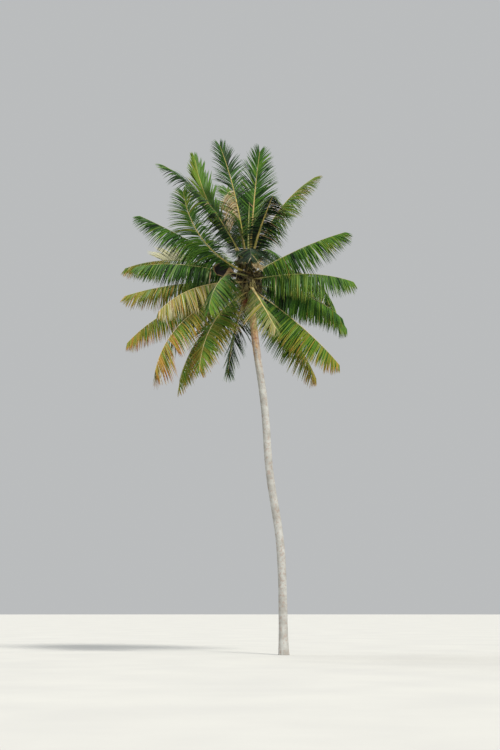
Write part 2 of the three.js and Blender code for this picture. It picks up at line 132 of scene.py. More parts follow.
# Fronds: azimuth, rise at the stem, rise at the tip, length, sway, roll, hang of the leaflets below the
# frond's plane, their angle to the rib near the stem, droop and base height. Then the age of the leaflets
# near the stem and near the tip, and how much older their own ends look. Azimuth 0 is right, 90 is back,
# 180 is left and 270 is front. Age 0 is dark green and 1 is dry straw.
Frond = namedtuple("Frond", "azimuth rise tip_rise length sway roll hang spread droop base near far ends")
# Painted shade: frond_13, frond_23, frond_28 and frond_33 lie in shade, so their leaflets near the stem are
# given low ages, which are darker greens.
FRONDS = {name: Frond(*row) for name, row in {
    "frond_01": (196, 82, 68, 4.6, 0, -65, -8, 60, 0.34, 13.83, 0.2, 0.18, 0.05),
    "frond_02": (40, 86, 80, 4.45, 0, 55, -14, 50, 0.2, 13.88, 0.26, 0.24, 0.04),
    "frond_03": (113, 62, 54, 4.2, 0, 0, -8, 60, 0.35, 13.81, 0.34, 0.34, 0.06),
    "frond_04": (8, 70, 33, 4.5, 0, 0, 24, 72, 0.5, 13.63, 0.36, 0.42, 0.08),
    "frond_05": (294, 56, -22, 4.15, -28, 0, 24, 72, 0.55, 13.6, 0.1, 0.14, 0.4),
    "frond_06": (162, 54.5, 79, 5.0, -12, -20, -8, 36, 0.1, 13.68, 0.26, 0.34, 0.04),
    "frond_07": (206, 61.5, 31, 5.2, -44, 0, 12, 76, 0.45, 13.52, 0.2, 0.26, 0.08),
    "frond_08": (90, 62, 56, 4.4, 0, 0, 16, 70, 0.5, 13.59, 0.16, 0.22, 0.08),
    "frond_09": (224, 10, 62, 4.6, 30, 0, 4, 68, 0.5, 13.34, 0.32, 0.4, 0.08),
    "frond_10": (72, 44, -20, 4.6, 0, 0, 40, 78, 0.5, 13.48, 0.24, 0.32, 0.08),
    "frond_11": (183, 32, 24, 4.7, 0, 0, 55, 80, 0.4, 13.295, 0.18, 0.24, 0.12),
    "frond_12": (341, 26, 10, 3.95, 0, 0, 60, 82, 0.35, 13.28, 0.3, 0.34, 0.08),
    "frond_13": (271, 16, -48, 4.2, 0, 0, 8, 48, 0.26, 13.4, 0.0, 0.06, 0.06),
    "frond_14": (161, 25, -16, 5.3, 0, 0, 60, 84, 0.35, 13.205, 0.46, 0.54, 0.1),
    "frond_15": (34, 24, -76, 4.9, 0, 0, 60, 84, 0.35, 13.3, 0.2, 0.4, 0.14),
    "frond_16": (357, -6, -46, 3.8, 0, 0, 70, 84, 0.35, 12.95, 0.2, 0.34, 0.12),
    "frond_17": (190, 15, -14, 4.3, 0, 0, 60, 84, 0.35, 13.155, 0.14, 0.32, 0.1),
    "frond_18": (246, -2, -74, 4.3, 0, 0, 45, 84, 0.35, 13.215, 0.24, 0.36, 0.14),
    "frond_19": (88, 20, -45, 4.6, 0, 0, 32, 80, 0.35, 13.2, 0.22, 0.34, 0.12),
    "frond_20": (130, 14, -50, 4.6, 0, 0, 44, 84, 0.35, 13.15, 0.24, 0.38, 0.12),
    "frond_21": (342, 6, -24, 4.05, 0, 0, 66, 86, 0.35, 13.12, 0.3, 0.34, 0.1),
    "frond_22": (174, 2, -17, 4.8, 0, 0, 64, 86, 0.35, 13.08, 0.42, 0.54, 0.12),
    "frond_23": (12, 0, -60, 4.3, 0, 0, 64, 86, 0.35, 13.03, 0.12, 0.26, 0.16),
    "frond_24": (212, -6, -50, 4.3, 0, 0, 68, 86, 0.5, 13.04, 0.5, 0.62, 0.14),
    "frond_25": (60, 0, -60, 4.6, 0, 0, 46, 86, 0.35, 13.0, 0.28, 0.42, 0.16),
    "frond_26": (184, -12, -50, 5.2, 0, 0, 68, 88, 0.3, 12.93, 0.3, 0.58, 0.3),
    "frond_27": (278, -24, -49, 4.5, 20, 0, 46, 86, 0.35, 12.94, 0.4, 0.46, 0.08),
    "frond_28": (105, -20, -70, 4.6, 0, 0, 64, 88, 0.35, 12.89, 0.12, 0.3, 0.16),
    "frond_29": (205, -20, -80, 5.4, 0, 0, 34, 84, 0.36, 12.85, 0.4, 0.64, 0.22),
    "frond_30": (145, -26, -75, 4.6, 0, 0, 64, 88, 0.35, 12.8, 0.3, 0.5, 0.2),
    "frond_31": (232, -28, -86, 4.8, 0, 0, 12, 84, 0.36, 12.76, 0.34, 0.5, 0.24),
    "frond_32": (350, -37, -52, 4.55, 0, 0, 74, 98, 0.14, 12.85, 0.22, 0.6, 0.2),
    "frond_33": (30, -36, -64, 4.3, 0, 0, 64, 88, 0.35, 12.73, 0.12, 0.62, 0.16),
    "frond_34": (206, -34, -84, 5.0, 0, 0, 24, 88, 0.3, 12.62, 0.34, 0.48, 0.26),
}.items()}
YOUNG, GROWN, OLD = ([f"frond_{k:02d}" for k in range(*span)] for span in ((1, 11), (11, 24), (24, 35)))
AGES = {"young": YOUNG, "grown": GROWN, "old": OLD}
SPLIT = ("frond_13", "frond_15", "frond_18")

# Groups of leaflets that differ: frond, side of the rib, from and to along the blade, share of them that
# differ, their share of length and of width, then their age, sag, hang and angle to the rib where they have
# their own.
Group = namedtuple("Group", "frond hand start stop part long broad age sag hang angle", defaults=[None] * 4)
HANDS = (1, -1)
LEAFLET_GROUPS = [
    Group("frond_01", 1, 0.20, 0.54, 0.90, 0.95, 0.62, 0.97, 3.0, 0, 84),
    # frond_14's raised group takes an age past the bleached one, the palest finish: painted highlight for the
    # sunlit face of that blade.
    Group("frond_14", -1, 0.40, 0.64, 1.0, 1.25, 2.0, 2.0, 0.15, -60, 36),
    Group("frond_05", 1, 0.18, 0.72, 0.35, 0.9, 0.5, 1.0, 0.9),
    Group("frond_06", 1, 0.0, 1.0, 1.0, 1.1, 2.4, 0.42, 0.1),
    Group("frond_06", -1, 0.0, 1.0, 1.0, 1.2, 2.6, 0.33, 0.1),
    *(Group("frond_27", hand, 0.0, 0.34, 1.0, 0.5, 1.0) for hand in HANDS),
    *(Group("frond_29", hand, 0.12, 0.75, 1.0, 1.22, 1.1) for hand in HANDS),
    *(Group("frond_29", hand, 0.75, 1.0, 1.0, 1.75, 1.2) for hand in HANDS),
]

# Where the leaflets start along the rib, on fronds where it isn't the usual place.
BLADE_STARTS = {
    "frond_08": 0.12, "frond_10": 0.10, "frond_11": 0.12, "frond_12": 0.11, "frond_14": 0.12,
    "frond_15": 0.10, "frond_18": 0.44, "frond_19": 0.08, "frond_20": 0.09, "frond_21": 0.12,
    "frond_25": 0.08, "frond_28": 0.08, "frond_31": 0.28,
}

# Painted shade on the stems of fronds that lie in shade: how dark each is, where it isn't as light as the
# others. On frond_03 it is partly the stalk's own darker green.
STEM_SHADES = {
    "frond_01": 0.12, "frond_02": 0.3, "frond_03": 0.55, "frond_10": 0.5, "frond_13": 1.0, "frond_16": 0.6,
    "frond_18": 0.5, "frond_23": 0.4, "frond_33": 0.9,
}

# Spread of the leaflets, each as the standard deviation of what a small tuft shares and of a leaflet's own
# part: angle to the rib and hang in degrees, length as a share, and tint.
TUFTS = 97
TUFT_SIZE = 6
ANGLE_SPREAD = (3.0, 1.6)
HANG_SPREAD = (6.0, 3.0)
LENGTH_SPREAD = (0.03, 0.035)
TINT_SPREAD = (0.03, 0.045)
# What the ripples along the rib do: slow clumps and patches and a fine one move the angle and the hang, in
# degrees, the length, the sag, the twist in radians and the tint.
CLUMP_ANGLE = 2.5
CLUMP_LENGTH = 0.03
CLUMP_TWIST = 0.15
PATCH_HANG = 7
PATCH_SAG = 0.2
PATCH_TINT = 0.05
FINE_HANG = 2.5
FINE_TWIST = 0.22
FINE_TINT = 0.03
# A leaflet's own play: along the rib as a share of a step, sag and width as shares, twist and curl in
# radians, with the curl's mean first.
STEP_PLAY = 0.35
SAG_PLAY = 0.10
WIDTH_PLAY = 0.08
TWIST_PLAY = 0.15
CURL_PLAY = (0.04, 0.10)
# Width of the shortest leaflets as a share, and the share of the length below which none sags less.
SHORT_WIDTH = 0.62
SHORT_SAG = 0.3
# How much older the ends look, as a least share and a further random one.
END_PLAY = (0.6, 0.8)
# Share of the leaflets that are dealt darker than their neighbours, painted shade in place of shaded gaps
# between leaflets, and of those that look older, each with how much.
SHADOW_LEAFLETS = (0.14, 0.16)
OLDER = (0.10, 0.10)
# Near the stem the leaflets are dealt darker greens, painted shade for the shaded heart of the crown, by a
# size that dies out over a reach along the blade.
SHADE_AT_FOOT = (0.16, 0.06)
# A few lone leaflets are dry: their share, and their age at the least.
STRAY_PART = 0.004
STRAY_AGE = 0.93

# Where a leaflet grows older towards its end, as a start and a reach, and how much darker its underside is
# dealt, which is painted shade.
OLDER_END = (0.25, 0.75)
SHADE_BELOW = 0.07

# Bleached leaflets: the age past which every one is bleached, the age of the first bleached finish and the
# steps in a whole age, then the fronds with bleached leaflets among the others, as a share of theirs.
BLEACHED_AGE = 1.5
BLEACHED_FROM = 0.38
BLEACHED_STEPS = 9
BLEACHED = {"frond_24": 0.72, "frond_27": 0.62, "frond_29": 0.12, "frond_22": 0.15, "frond_17": 0.10}

# Leaf finishes from dark green to dry straw, as display colours, with their roughness.
LEAF_FINISHES = [
    ("leaf_shade_green", (15, 30, 17), 0.5),
    ("leaf_deep_green", (27, 50, 23), 0.48),
    ("leaf_dark_green", (41, 73, 28), 0.46),
    ("leaf_green", (56, 95, 32), 0.46),
    ("leaf_fresh_green", (76, 115, 34), 0.47),
    ("leaf_light_green", (102, 130, 40), 0.48),
    ("leaf_olive", (120, 125, 42), 0.50),
    ("leaf_yellow", (146, 135, 52), 0.52),
    ("leaf_gold", (164, 130, 54), 0.54),
    ("leaf_amber", (158, 106, 48), 0.58),
    ("leaf_rust", (130, 82, 50), 0.62),
    ("leaf_tan", (160, 132, 96), 0.68),
    ("leaf_straw", (188, 172, 138), 0.70),
]
# Bleached finishes, from greenish to straw.
BLEACHED_FINISHES = [
    ("leaf_bleached_green", (112, 134, 84), 0.55),
    ("leaf_bleached_olive", (142, 144, 92), 0.58),
    ("leaf_bleached_tan", (166, 154, 108), 0.62),
    ("leaf_bleached_straw", (190, 188, 154), 0.66),
]
LEAF_SHINE = 0.18
# Painted shade: the dark olive that the stems of shaded fronds are mixed towards.
SHADED_STEM = (44, 52, 28)

# Flower sprays: azimuth, rise, base height, stalk length, strand length, droop.
FRESH_SPRAY = (306, 24, 13.420, 0.330, 0.470, 1.4)
DRIED_SPRAY = (240, -30, 12.520, 0.260, 0.430, 1.6)
STRANDS_FROM = 0.55
STRAND_SPREAD = 46.0
STRAND_LIFT = 26.0
STRAND_CLOSING = 0.75
STALK_RADIUS = (0.019, 0.009)
STRAND_HALF = 0.0048
STRAND_THICKNESS = 0.0042
STRAND_SEGMENTS = 9
STALK_RINGS = 14
STALK_SIDES = 10
BUD_SIZE = (0.010, 0.018)
BUD_PLAY = 0.005

# Woody sheaths of the sprays: azimuth, rise, base height, length, half width.
SHEATHS = {
    "spray_sheath_left": (271, 80, 13.010, 0.330, 0.018),
    "spray_sheath_front": (250, 80, 12.690, 0.480, 0.032),
}
# The open sheath left of the heart: the same, with a turn of its hollow to the front.
OPEN_SHEATH = (210, 18, 13.080, 1.42, 0.24, 66)
SHEATH_BOW = 1.9 * 0.78
OPEN_SHEATH_BOW = 1.35
OPEN_SHEATH_SAG = 0.10
SHEATH_THICKNESS = 0.006
OPEN_SHEATH_THICKNESS = 0.007
# How wide they are along their lengths, as places and shares of the width.
SHEATH_WIDTHS = ([0, 0.3, 0.6, 0.85, 1], [0.6, 1, 0.9, 0.5, 0.08])
OPEN_SHEATH_WIDTHS = ([0, 0.35, 0.6, 0.8, 0.93, 1], [0.14, 0.24, 0.9, 1.0, 0.6, 0.06])
# The near-black sheet inside the open sheath is painted shade in its hollow: its share of the arc and how
# much deeper it lies.
HOLLOW_SHADE_SHARE = 0.84
HOLLOW_SHADE_DEPTH = 0.010

SPEAR_LENGTH = 1.9
SPEAR_RADIUS = 0.027
SPEAR_LEAN = 0.040
SPEAR_RINGS = 40
SPEAR_SIDES = 48
SPEAR_PLEATS = 8
SPEAR_PLEAT_DEPTH = 0.16
# How thick it is along its length, as places and shares of the radius.
SPEAR_TAPER = ([0, 0.25, 0.6, 0.85, 1], [1, 0.95, 0.75, 0.45, 0.1])

# Stems at the heart: the steepest rise that moves where a stem leaves, and how far out it does.
STEEPEST = 62
STEM_LEAVES = 0.13
BASE_THICKNESS = 0.009
CLOTH_THICKNESS = 0.004
STRIP_THICKNESS = 0.002
HAIR_HALF = 0.0035
# How wide a stem's base clasps the heart, in degrees to each side, at its foot and where the stem leaves.
BASE_CLASP = (66.0, 19.0)
# Between which heights the loose fibres leave the heart.
HAIR_HEIGHTS = (HEART_LOW - 0.55, 13.55)
# Where the strips hang: their heights, the angles of the thicker half of them, and shares along a stem.
STRIP_HEIGHTS = (12.25, 13.30)
THICK_SIDE = (3.3, 5.2)
STEM_STRIP_PLACES = (0.03, 0.12)

CAMERA_PLACE = (-1.1464, -43.4213, 1.5)
CAMERA_TILT = 10.6473
CAMERA_LENS = 60.0
CAMERA_SENSOR = 36.0
CAMERA_RANGE = (0.5, 1500.0)
FLOOR_SIDES = 96
# Lights: share of the key light's strength, where they shine to, apparent width in degrees and colour.
LIGHTS = {
    "key_light": (1.0, (-0.36, 0.60, -0.86), 12.0, (1.0, 0.955, 0.87)),
    "back_light": (0.32, (0.55, -0.35, -0.85), 40.0, (0.95, 0.98, 1.0)),
}

# Scars: how far they tilt and stray up and down as shares of a gap, where in a gap the lip and the groove
# lie with their reaches, and how deep the groove is beside the lip.
SCAR_TILT = 0.16
SCAR_STRAY = 0.06
LIP = (0.42, 0.16)
GROOVE = (0.66, 0.085)
GROOVE_DEPTH = 0.5

# Random lines: how many sines they have, how much faster and weaker each is, and what the sum is divided
# by.
RIPPLE_WAVES = 5
RIPPLE_STEP = 1.7
RIPPLE_FALL = 0.5
RIPPLE_SUM = 2.2

DOWN = np.array([0.0, 0.0, -1.0])


# Numbers and directions

def mix(a, b, t):
    """From a to b in a straight line as t goes from 0 to 1."""
    return a + (b - a) * t


def smooth(t):
    """From 0 to 1 with level ends: three t squared less two t cubed, with t held between 0 and 1."""
    t = np.clip(t, 0.0, 1.0)
    return t * t * (3 - 2 * t)


def risen(z, change):
    """From 0 to 1 smoothly over a change that is given as its start and its reach."""
    return smooth((z - change[0]) / change[1])


def fading(distance, size, reach):
    """A size that dies out: it falls to about a third over each reach."""
    return size * np.exp(-distance / reach)


def unit(v):
    """Each vector divided by its length."""
    return v / np.maximum(np.linalg.norm(v, axis=-1, keepdims=True), 1e-12)


def dot(a, b):
    """Scalar product of each two vectors, kept as a last axis of one."""
    return np.sum(a * b, axis=-1, keepdims=True)


def vectors(x, y, z):
    """Vectors from their three parts, arrays or numbers."""
    return np.stack(np.broadcast_arrays(x, y, z), axis=-1)


def grid(rows, columns):
    """Shares from 0 to 1 along the rows and from -1 to 1 across them."""
    return np.meshgrid(np.linspace(0, 1, rows), np.linspace(-1, 1, columns), indexing="ij")


def turned(a, b, angle):
    """Two crossed directions turned in their own plane: each is its cosine part and the other's sine
    part."""
    return a * np.cos(angle) + b * np.sin(angle), b * np.cos(angle) - a * np.sin(angle)


def ripple(t, seed, slowest=1.0):
    """A smooth random line over t, between about -1 and 1: the sum of a few sines with random starts, each
    faster and weaker than the one before."""
    rng = np.random.default_rng(seed)
    t = np.asarray(t, float)
    total = np.zeros_like(t)
    for k in range(RIPPLE_WAVES):
        wave = np.sin(2 * np.pi * (slowest * (1 + RIPPLE_STEP * k) * t + rng.random()))
        total += wave / (1 + RIPPLE_FALL * k)
    return total / RIPPLE_SUM


def display(colour):
    """Linear colour of a display colour given from 0 to 255, by the usual curve with its straight foot."""
    c = np.asarray(colour, float) / 255
    linear = np.where(c <= 0.04045, c / 12.92, ((c + 0.055) / 1.055) ** 2.4)
    return (*map(float, linear), 1.0)


# Shape of the trunk and the fronds, as the CAD has them

def lean(z):
    """Sideways shift of the trunk's centre line at height z: a cubic curve through the lean's heights,
    whose slope at each height is that of the line between its two neighbours."""
    z = np.asarray(z, float)
    k = np.clip(np.searchsorted(LEAN_HEIGHTS, z, side="left") - 1, 0, len(LEAN_HEIGHTS) - 2)
    z0, z1 = LEAN_HEIGHTS[k], LEAN_HEIGHTS[k + 1]
    x0, x1 = LEAN_SHIFTS[k], LEAN_SHIFTS[k + 1]
    before, after = np.maximum(0, k - 1), np.minimum(len(LEAN_HEIGHTS) - 1, k + 2)
    slope0 = (x1 - LEAN_SHIFTS[before]) / (z1 - LEAN_HEIGHTS[before])
    slope1 = (LEAN_SHIFTS[after] - x0) / (LEAN_HEIGHTS[after] - z0)
    span = z1 - z0
    t = (z - z0) / span
    bow = t * t * (3 - 2 * t)
    return (x0 * (1 - bow) + x1 * bow + (t ** 3 - 2 * t * t + t) * span * slope0
            + (t ** 3 - t * t) * span * slope1)


def trunk_radius(z):
    """Radius at height z: a straight taper with a root flare that dies out upwards, then the heart's
    swelling, which rises over its lowest third and falls to the tip."""
    z = np.asarray(z, float)
    stem = mix(FOOT_RADIUS, NECK_RADIUS, np.clip(z / HEART_LOW, 0, 1)) + fading(z, FLARE, FLARE_REACH)
    t = np.clip((z - HEART_LOW) / (HEART_TOP - HEART_LOW), 0, 1)
    swelling = mix(NECK_RADIUS, HEART_RADIUS, smooth(t / HEART_SWELL))
    past = np.clip((t - HEART_SWELL) / (1 - HEART_SWELL), 0, 1)
    falling = mix(HEART_RADIUS, HEART_TIP_RADIUS, past ** HEART_TAPER)
    return np.where(z <= HEART_LOW, stem, np.where(t < HEART_SWELL, swelling, falling))


def on_heart(turn, z, proud):
    """Points on the heart at an angle and a height, standing out by a given length."""
    radius = trunk_radius(z) + proud
    return vectors(lean(z) + radius * np.cos(turn), radius * np.sin(turn), z)


def aimed(azimuth, rise):
    """Direction from an azimuth and a rise in degrees."""
    a, r = np.radians(azimuth), np.radians(rise)
    return vectors(np.cos(r) * np.cos(a), np.cos(r) * np.sin(a), np.sin(r))


def rib_at(name, u):
    """Points, directions, sides and ups at shares u of a frond's rib, by straight steps between its own
    points. The rise goes from the stem's to the tip's with the share of the length to the power of the
    arch, the turn grows with the share squared, and the points are the running sum of the directions. The
    side is level, rolled about the rib as far as the frond is rolled."""
    frond = FRONDS[name]
    at = np.linspace(0, 1, RIB_STEPS + 1)
    turn = np.radians(frond.azimuth + frond.sway * at * at)
    along = aimed(np.degrees(turn), mix(frond.rise, frond.tip_rise, at ** RIB_ARCH))
    level = vectors(-np.sin(turn), np.cos(turn), 0.0)
    side, _ = turned(level, np.cross(along, level), np.radians(frond.roll * smooth(at / ROLL_DONE))[:, None])
    start = vectors(lean(frond.base), 0.0, frond.base)
    start = start + aimed(frond.azimuth, 0) * STEM_OFFSET * max(0.0, math.sin(math.radians(frond.rise)))
    step = frond.length * RIB_SHARE / RIB_STEPS
    point = start + np.vstack([np.zeros(3), np.cumsum(along[:-1] * step, axis=0)])

    def blend(rows):
        return np.stack([np.interp(u, at, row) for row in rows.T], axis=-1)

    return blend(point), unit(blend(along)), unit(blend(side)), unit(blend(np.cross(along, side)))


def rib_half(u):
    """Half width and half height of the rib at a share u of its length: from the stem's to the tip's with
    what is left of the length to the power of the taper."""
    fall = (1 - u) ** RIB_TAPER
    return mix(RIB_TIP_WIDTH, RIB_WIDTH, fall) / 2, mix(RIB_TIP_HEIGHT, RIB_HEIGHT, fall) / 2


def leaflet_share(v):
    """How long a leaflet is at a place along the blade, as a share of the longest: it grows smoothly to the
    longest and then falls with the rest of the way to a power."""
    growing = mix(FIRST_SHARE, 1.0, smooth(v / LONGEST_FROM))
    past = np.clip((v - LONGEST_FROM) / (1 - LONGEST_FROM), 0, 1)
    return growing * mix(1.0, LAST_SHARE, past ** SHARE_FALL)


# Meshes from arrays

class Heap:
    """Vertices and faces of many small forms, gathered into one mesh."""

    def __init__(self):
        self.points, self.quads, self.tris, self.quad_finish, self.tri_finish = [], [], [], [], []
        self.count = 0

    def add(self, points, quads, tris=None, quad_finish=0, tri_finish=0):
        """One more form, whose faces count its own points from 0 and may each have a finish."""
        quads = np.zeros((0, 4), int) if quads is None else quads
        tris = np.zeros((0, 3), int) if tris is None else tris
        self.points.append(points)
        self.quads.append(quads + self.count)
        self.tris.append(tris + self.count)
        self.quad_finish.append(np.broadcast_to(quad_finish, len(quads)))
        self.tri_finish.append(np.broadcast_to(tri_finish, len(tris)))
        self.count += len(points)

    def build(self, name, finishes, soft=False):
        """One object from all that was added, with a face's finish as its material."""
        points, quads, tris = (np.concatenate(rows) for rows in (self.points, self.quads, self.tris))
        corners = np.concatenate([quads.ravel(), tris.ravel()])
        starts = np.concatenate([np.arange(len(quads)) * 4, len(quads) * 4 + np.arange(len(tris)) * 3])
        mesh = bpy.data.meshes.new(name)
        mesh.vertices.add(len(points))
        mesh.vertices.foreach_set("co", points.astype(np.float32).ravel())
        mesh.loops.add(len(corners))
        mesh.loops.foreach_set("vertex_index", corners.astype(np.int32))
        mesh.polygons.add(len(starts))
        mesh.polygons.foreach_set("loop_start", starts.astype(np.int32))
        for finish in finishes:
            mesh.materials.append(finish)
        finish = np.concatenate(self.quad_finish + self.tri_finish).astype(np.int32)
        mesh.polygons.foreach_set("material_index", finish)
        mesh.update(calc_edges=True)
        mesh.polygons.foreach_set("use_smooth", np.full(len(starts), soft))
        mesh.update()
        piece = bpy.data.objects.new(name, mesh)
        bpy.context.scene.collection.objects.link(piece)
        return piece


def make_piece(name, finish, form, soft=False):
    """One object of one form and one finish."""
    heap = Heap()
    heap.add(*form)
    return heap.build(name, [finish], soft)


def set_values(piece, name, values):
    """Stores a number at each vertex, for the finishes to read."""
    layer = piece.data.attributes.new(name, "FLOAT", "POINT")
    layer.data.foreach_set("value", values.astype(np.float32))


def dress(piece, slot, *nodes):
    """The piece rides on the palm's one body and takes the place of the nodes, if any are given. The slot is
    not used."""
    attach(piece, BODY)
    if nodes:
        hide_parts(*nodes)


def ring_faces(rings, sides):
    """Faces of a tube of rings whose corners go round its direction anticlockwise."""
    k, i = np.meshgrid(np.arange(rings - 1) * sides, np.arange(sides), indexing="ij")
    n = (i + 1) % sides
    return np.stack([k + i, k + n, k + sides + n, k + sides + i], axis=-1).reshape(-1, 4)


def end_fans(rings, sides):
    """Triangles that close a tube of rings on two middle points, which follow the rings in the list of
    points."""
    i = np.arange(sides)
    n = (i + 1) % sides
    middle, last = np.full(sides, rings * sides), (rings - 1) * sides
    first_fan = np.stack([n, i, middle], axis=-1)
    last_fan = np.stack([last + i, last + n, middle + 1], axis=-1)
    return np.concatenate([first_fan, last_fan])


def oval(half_side, half_up, sides):
    """Corners of an oval at each ring: how far across they lie, by the cosine of their turn, how far up, by
    its sine, and the turn."""
    turn = 2 * np.pi * np.arange(sides) / sides
    return np.cos(turn) * half_side[:, None], np.sin(turn) * half_up[:, None], turn


def tube(spine, side, up, across, tall):
    """A closed tube along a spine: at each of its points a ring of corners, the side times how far across
    each lies and the up times how tall. Its ends close on a middle point."""
    ring = spine[:, None, :] + side[:, None, :] * across[..., None] + up[:, None, :] * tall[..., None]
    points = np.concatenate([ring.reshape(-1, 3), ring[0].mean(0)[None], ring[-1].mean(0)[None]])
    quads, tris = ring_faces(*across.shape), end_fans(*across.shape)
    if np.mean(dot(np.cross(side, up), np.gradient(spine, axis=0))) < 0:
        quads, tris = quads[:, ::-1], tris[:, ::-1]
    return points, quads, tris


def shell(sheet, thickness):
    """A closed thin plate from a grid of points: the grid moved out and in along its own normals by half
    the thickness, with a border strip between the two."""
    rows, columns = sheet.shape[:2]
    normal = unit(np.cross(np.gradient(sheet, axis=0), np.gradient(sheet, axis=1)))
    outer, inner = sheet + normal * thickness / 2, sheet - normal * thickness / 2
    points = np.concatenate([outer.reshape(-1, 3), inner.reshape(-1, 3)])
    place = np.arange(rows * columns).reshape(rows, columns)
    a = place[:-1, :-1].ravel()
    face = np.stack([a, a + columns, a + columns + 1, a + 1], axis=-1)
    edge = np.concatenate([place[0], place[1:, -1], place[-1, -2::-1], place[-2:0:-1, 0]])
    after = np.roll(edge, -1)
    border = np.stack([edge, after, after + place.size, edge + place.size], axis=-1)
    return points, np.concatenate([face, face[:, ::-1] + place.size, border])


def leaf_outline(at):
    """Width of a leaflet at a share of its length: it swells from half over the first stretch and runs out
    to a point."""
    narrowing = (1 - at ** LEAFLET_POINT[0]) ** LEAFLET_POINT[1]
    return mix(LEAFLET_FOOT, 1.0, smooth(at / LEAFLET_WIDEST)) * narrowing


def blades(root, aim, across, length, half, sag, twist, curl, fold=0.3, thick=LEAFLET_THICKNESS,
           segments=LEAFLET_SEGMENTS, outline=leaf_outline):
    """Thin pointed blades, all at once. At a share t of its length a blade heads along its aim plus
    straight down times its sag times t, turned down about its own width by its curl times t squared; its
    spine is the running sum of these headings. Its section is a low roof of four corners, right, under,
    left and ridge, as wide as its half width times its outline, and turns by its twist towards the tip.
    With its faces it gives, for each face of a blade, the share of the length where the face lies."""
    m = len(root)
    t = (np.arange(segments) + 0.5) / segments
    heading = unit(aim[:, None, :] + DOWN * (sag[:, None] * t)[..., None])
    flat = unit(across[:, None, :] - heading * dot(across[:, None, :], heading))
    face = np.cross(flat, heading)
    swing = (curl[:, None] * t * t)[..., None]
    heading = heading * np.cos(swing) - face * np.sin(swing)
    spine = np.cumsum(heading * (length / segments)[:, None, None], axis=1)
    spine = root[:, None, :] + np.concatenate([np.zeros((m, 1, 3)), spine], axis=1)
    aim_at = np.concatenate([heading[:, :1], unit(heading[:, :-1] + heading[:, 1:]), heading[:, -1:]], axis=1)
    flat = unit(across[:, None, :] - aim_at * dot(across[:, None, :], aim_at))
    at = np.arange(segments + 1) / segments
    flat, face = turned(flat, np.cross(flat, aim_at), (twist[:, None] * mix(FOOT_TWIST, 1.0, at))[..., None])
    wide = (half[:, None] * outline(at))[..., None]
    deep = np.minimum(thick, wide * RIDGE_SHARE)
    rings = np.stack([spine + flat * wide - face * wide * fold, spine - face * deep,
                      spine - flat * wide - face * wide * fold, spine + face * deep], axis=2)
    points = np.concatenate([rings[:, :segments].reshape(m, segments * 4, 3), spine[:, -1:, :]], axis=1)
    i = np.arange(4)
    last = (segments - 1) * 4
    quads = np.concatenate([[[3, 2, 1, 0]], ring_faces(segments, 4)])
    tris = np.stack([last + i, last + (i + 1) % 4, np.full(4, segments * 4)], axis=-1)
    shift = np.arange(m)[:, None, None] * points.shape[1]
    quad_at = np.concatenate([[0], np.repeat(np.arange(segments - 1), 4)]) / segments
    return (points.reshape(-1, 3), (quads + shift).reshape(-1, 4), (tris + shift).reshape(-1, 3),
            quad_at, np.full(4, (segments - 1) / segments))


# Finishes

def add_node(tree, kind, given=None, **settings):
    """A new node with its settings. Each given input is linked to a socket or set to a value."""
    node = tree.nodes.new(kind)
    for name, value in settings.items():
        setattr(node, name, value)
    for name, value in (given or {}).items():
        if isinstance(value, bpy.types.NodeSocket):
            tree.links.new(value, node.inputs[name])
        else:
            node.inputs[name].default_value = value
    return node


def mixed(tree, factor, a, b):
    """Result of a colour mix by a factor. A colour is a socket or a display colour."""
    a, b = (display(value) if isinstance(value, tuple) else value for value in (a, b))
    node = add_node(tree, "ShaderNodeMix", {"Factor": factor, "A": a, "B": b}, data_type="RGBA")
    return node.outputs["Result"]


def ranged(tree, value, low, high, start=0.0, end=1.0):
    """A value's place between low and high, drawn out from start to end."""
    given = {"Value": value, "From Min": low, "From Max": high, "To Min": start, "To Max": end}
    return add_node(tree, "ShaderNodeMapRange", given).outputs["Result"]


def attribute(tree, name):
    """The number stored at each vertex under a name."""
    return add_node(tree, "ShaderNodeAttribute", attribute_name=name).outputs["Fac"]


def noise(tree, vector, scale, detail):
    """A soft noise on a vector."""
    given = {"Vector": vector, "Scale": scale, "Detail": detail}
    return add_node(tree, "ShaderNodeTexNoise", given).outputs["Fac"]


def new_group(name, ins, outs):
    """An empty node group and the sockets that it is given. Its inputs are named with a first value, the
    vector without one."""
    tree = bpy.data.node_groups.new(name, "ShaderNodeTree")
    tree.interface.new_socket("Vector", in_out="INPUT", socket_type="NodeSocketVector")
    for socket, kind, value in ins:
        tree.interface.new_socket(socket, in_out="INPUT", socket_type=kind).default_value = value
    for socket, kind in outs:
        tree.interface.new_socket(socket, in_out="OUTPUT", socket_type=kind)
    return tree, tree.nodes.new("NodeGroupInput").outputs


def mottle_group():
    """Node group: two colours mixed by a soft noise on the given vector, with a finer speckle laid over
    it."""
    if "mottle" in bpy.data.node_groups:
        return bpy.data.node_groups["mottle"]
    tree, given = new_group("mottle", [
        ("Colour A", "NodeSocketColor", (0.5, 0.5, 0.5, 1)),
        ("Colour B", "NodeSocketColor", (0.3, 0.3, 0.3, 1)),
        ("Scale", "NodeSocketFloat", 4.0),
        ("Speckle Scale", "NodeSocketFloat", 60.0),
        ("Speckle", "NodeSocketFloat", 0.3),
    ], [("Colour", "NodeSocketColor"), ("Mask", "NodeSocketFloat"), ("Height", "NodeSocketFloat")])
    soft = noise(tree, given["Vector"], given["Scale"], 5.0)
    fine = noise(tree, given["Vector"], given["Speckle Scale"], 3.0)
    specks = add_node(tree, "ShaderNodeMath", {0: ranged(tree, fine, 0.52, 0.72), 1: given["Speckle"]},
                      operation="MULTIPLY").outputs[0]
    mask = add_node(tree, "ShaderNodeMath", {0: ranged(tree, soft, 0.35, 0.65), 1: specks},
                    operation="ADD", use_clamp=True).outputs[0]
    colour = mixed(tree, mask, given["Colour A"], given["Colour B"])
    add_node(tree, "NodeGroupOutput", {"Colour": colour, "Mask": mask, "Height": fine})
    return tree


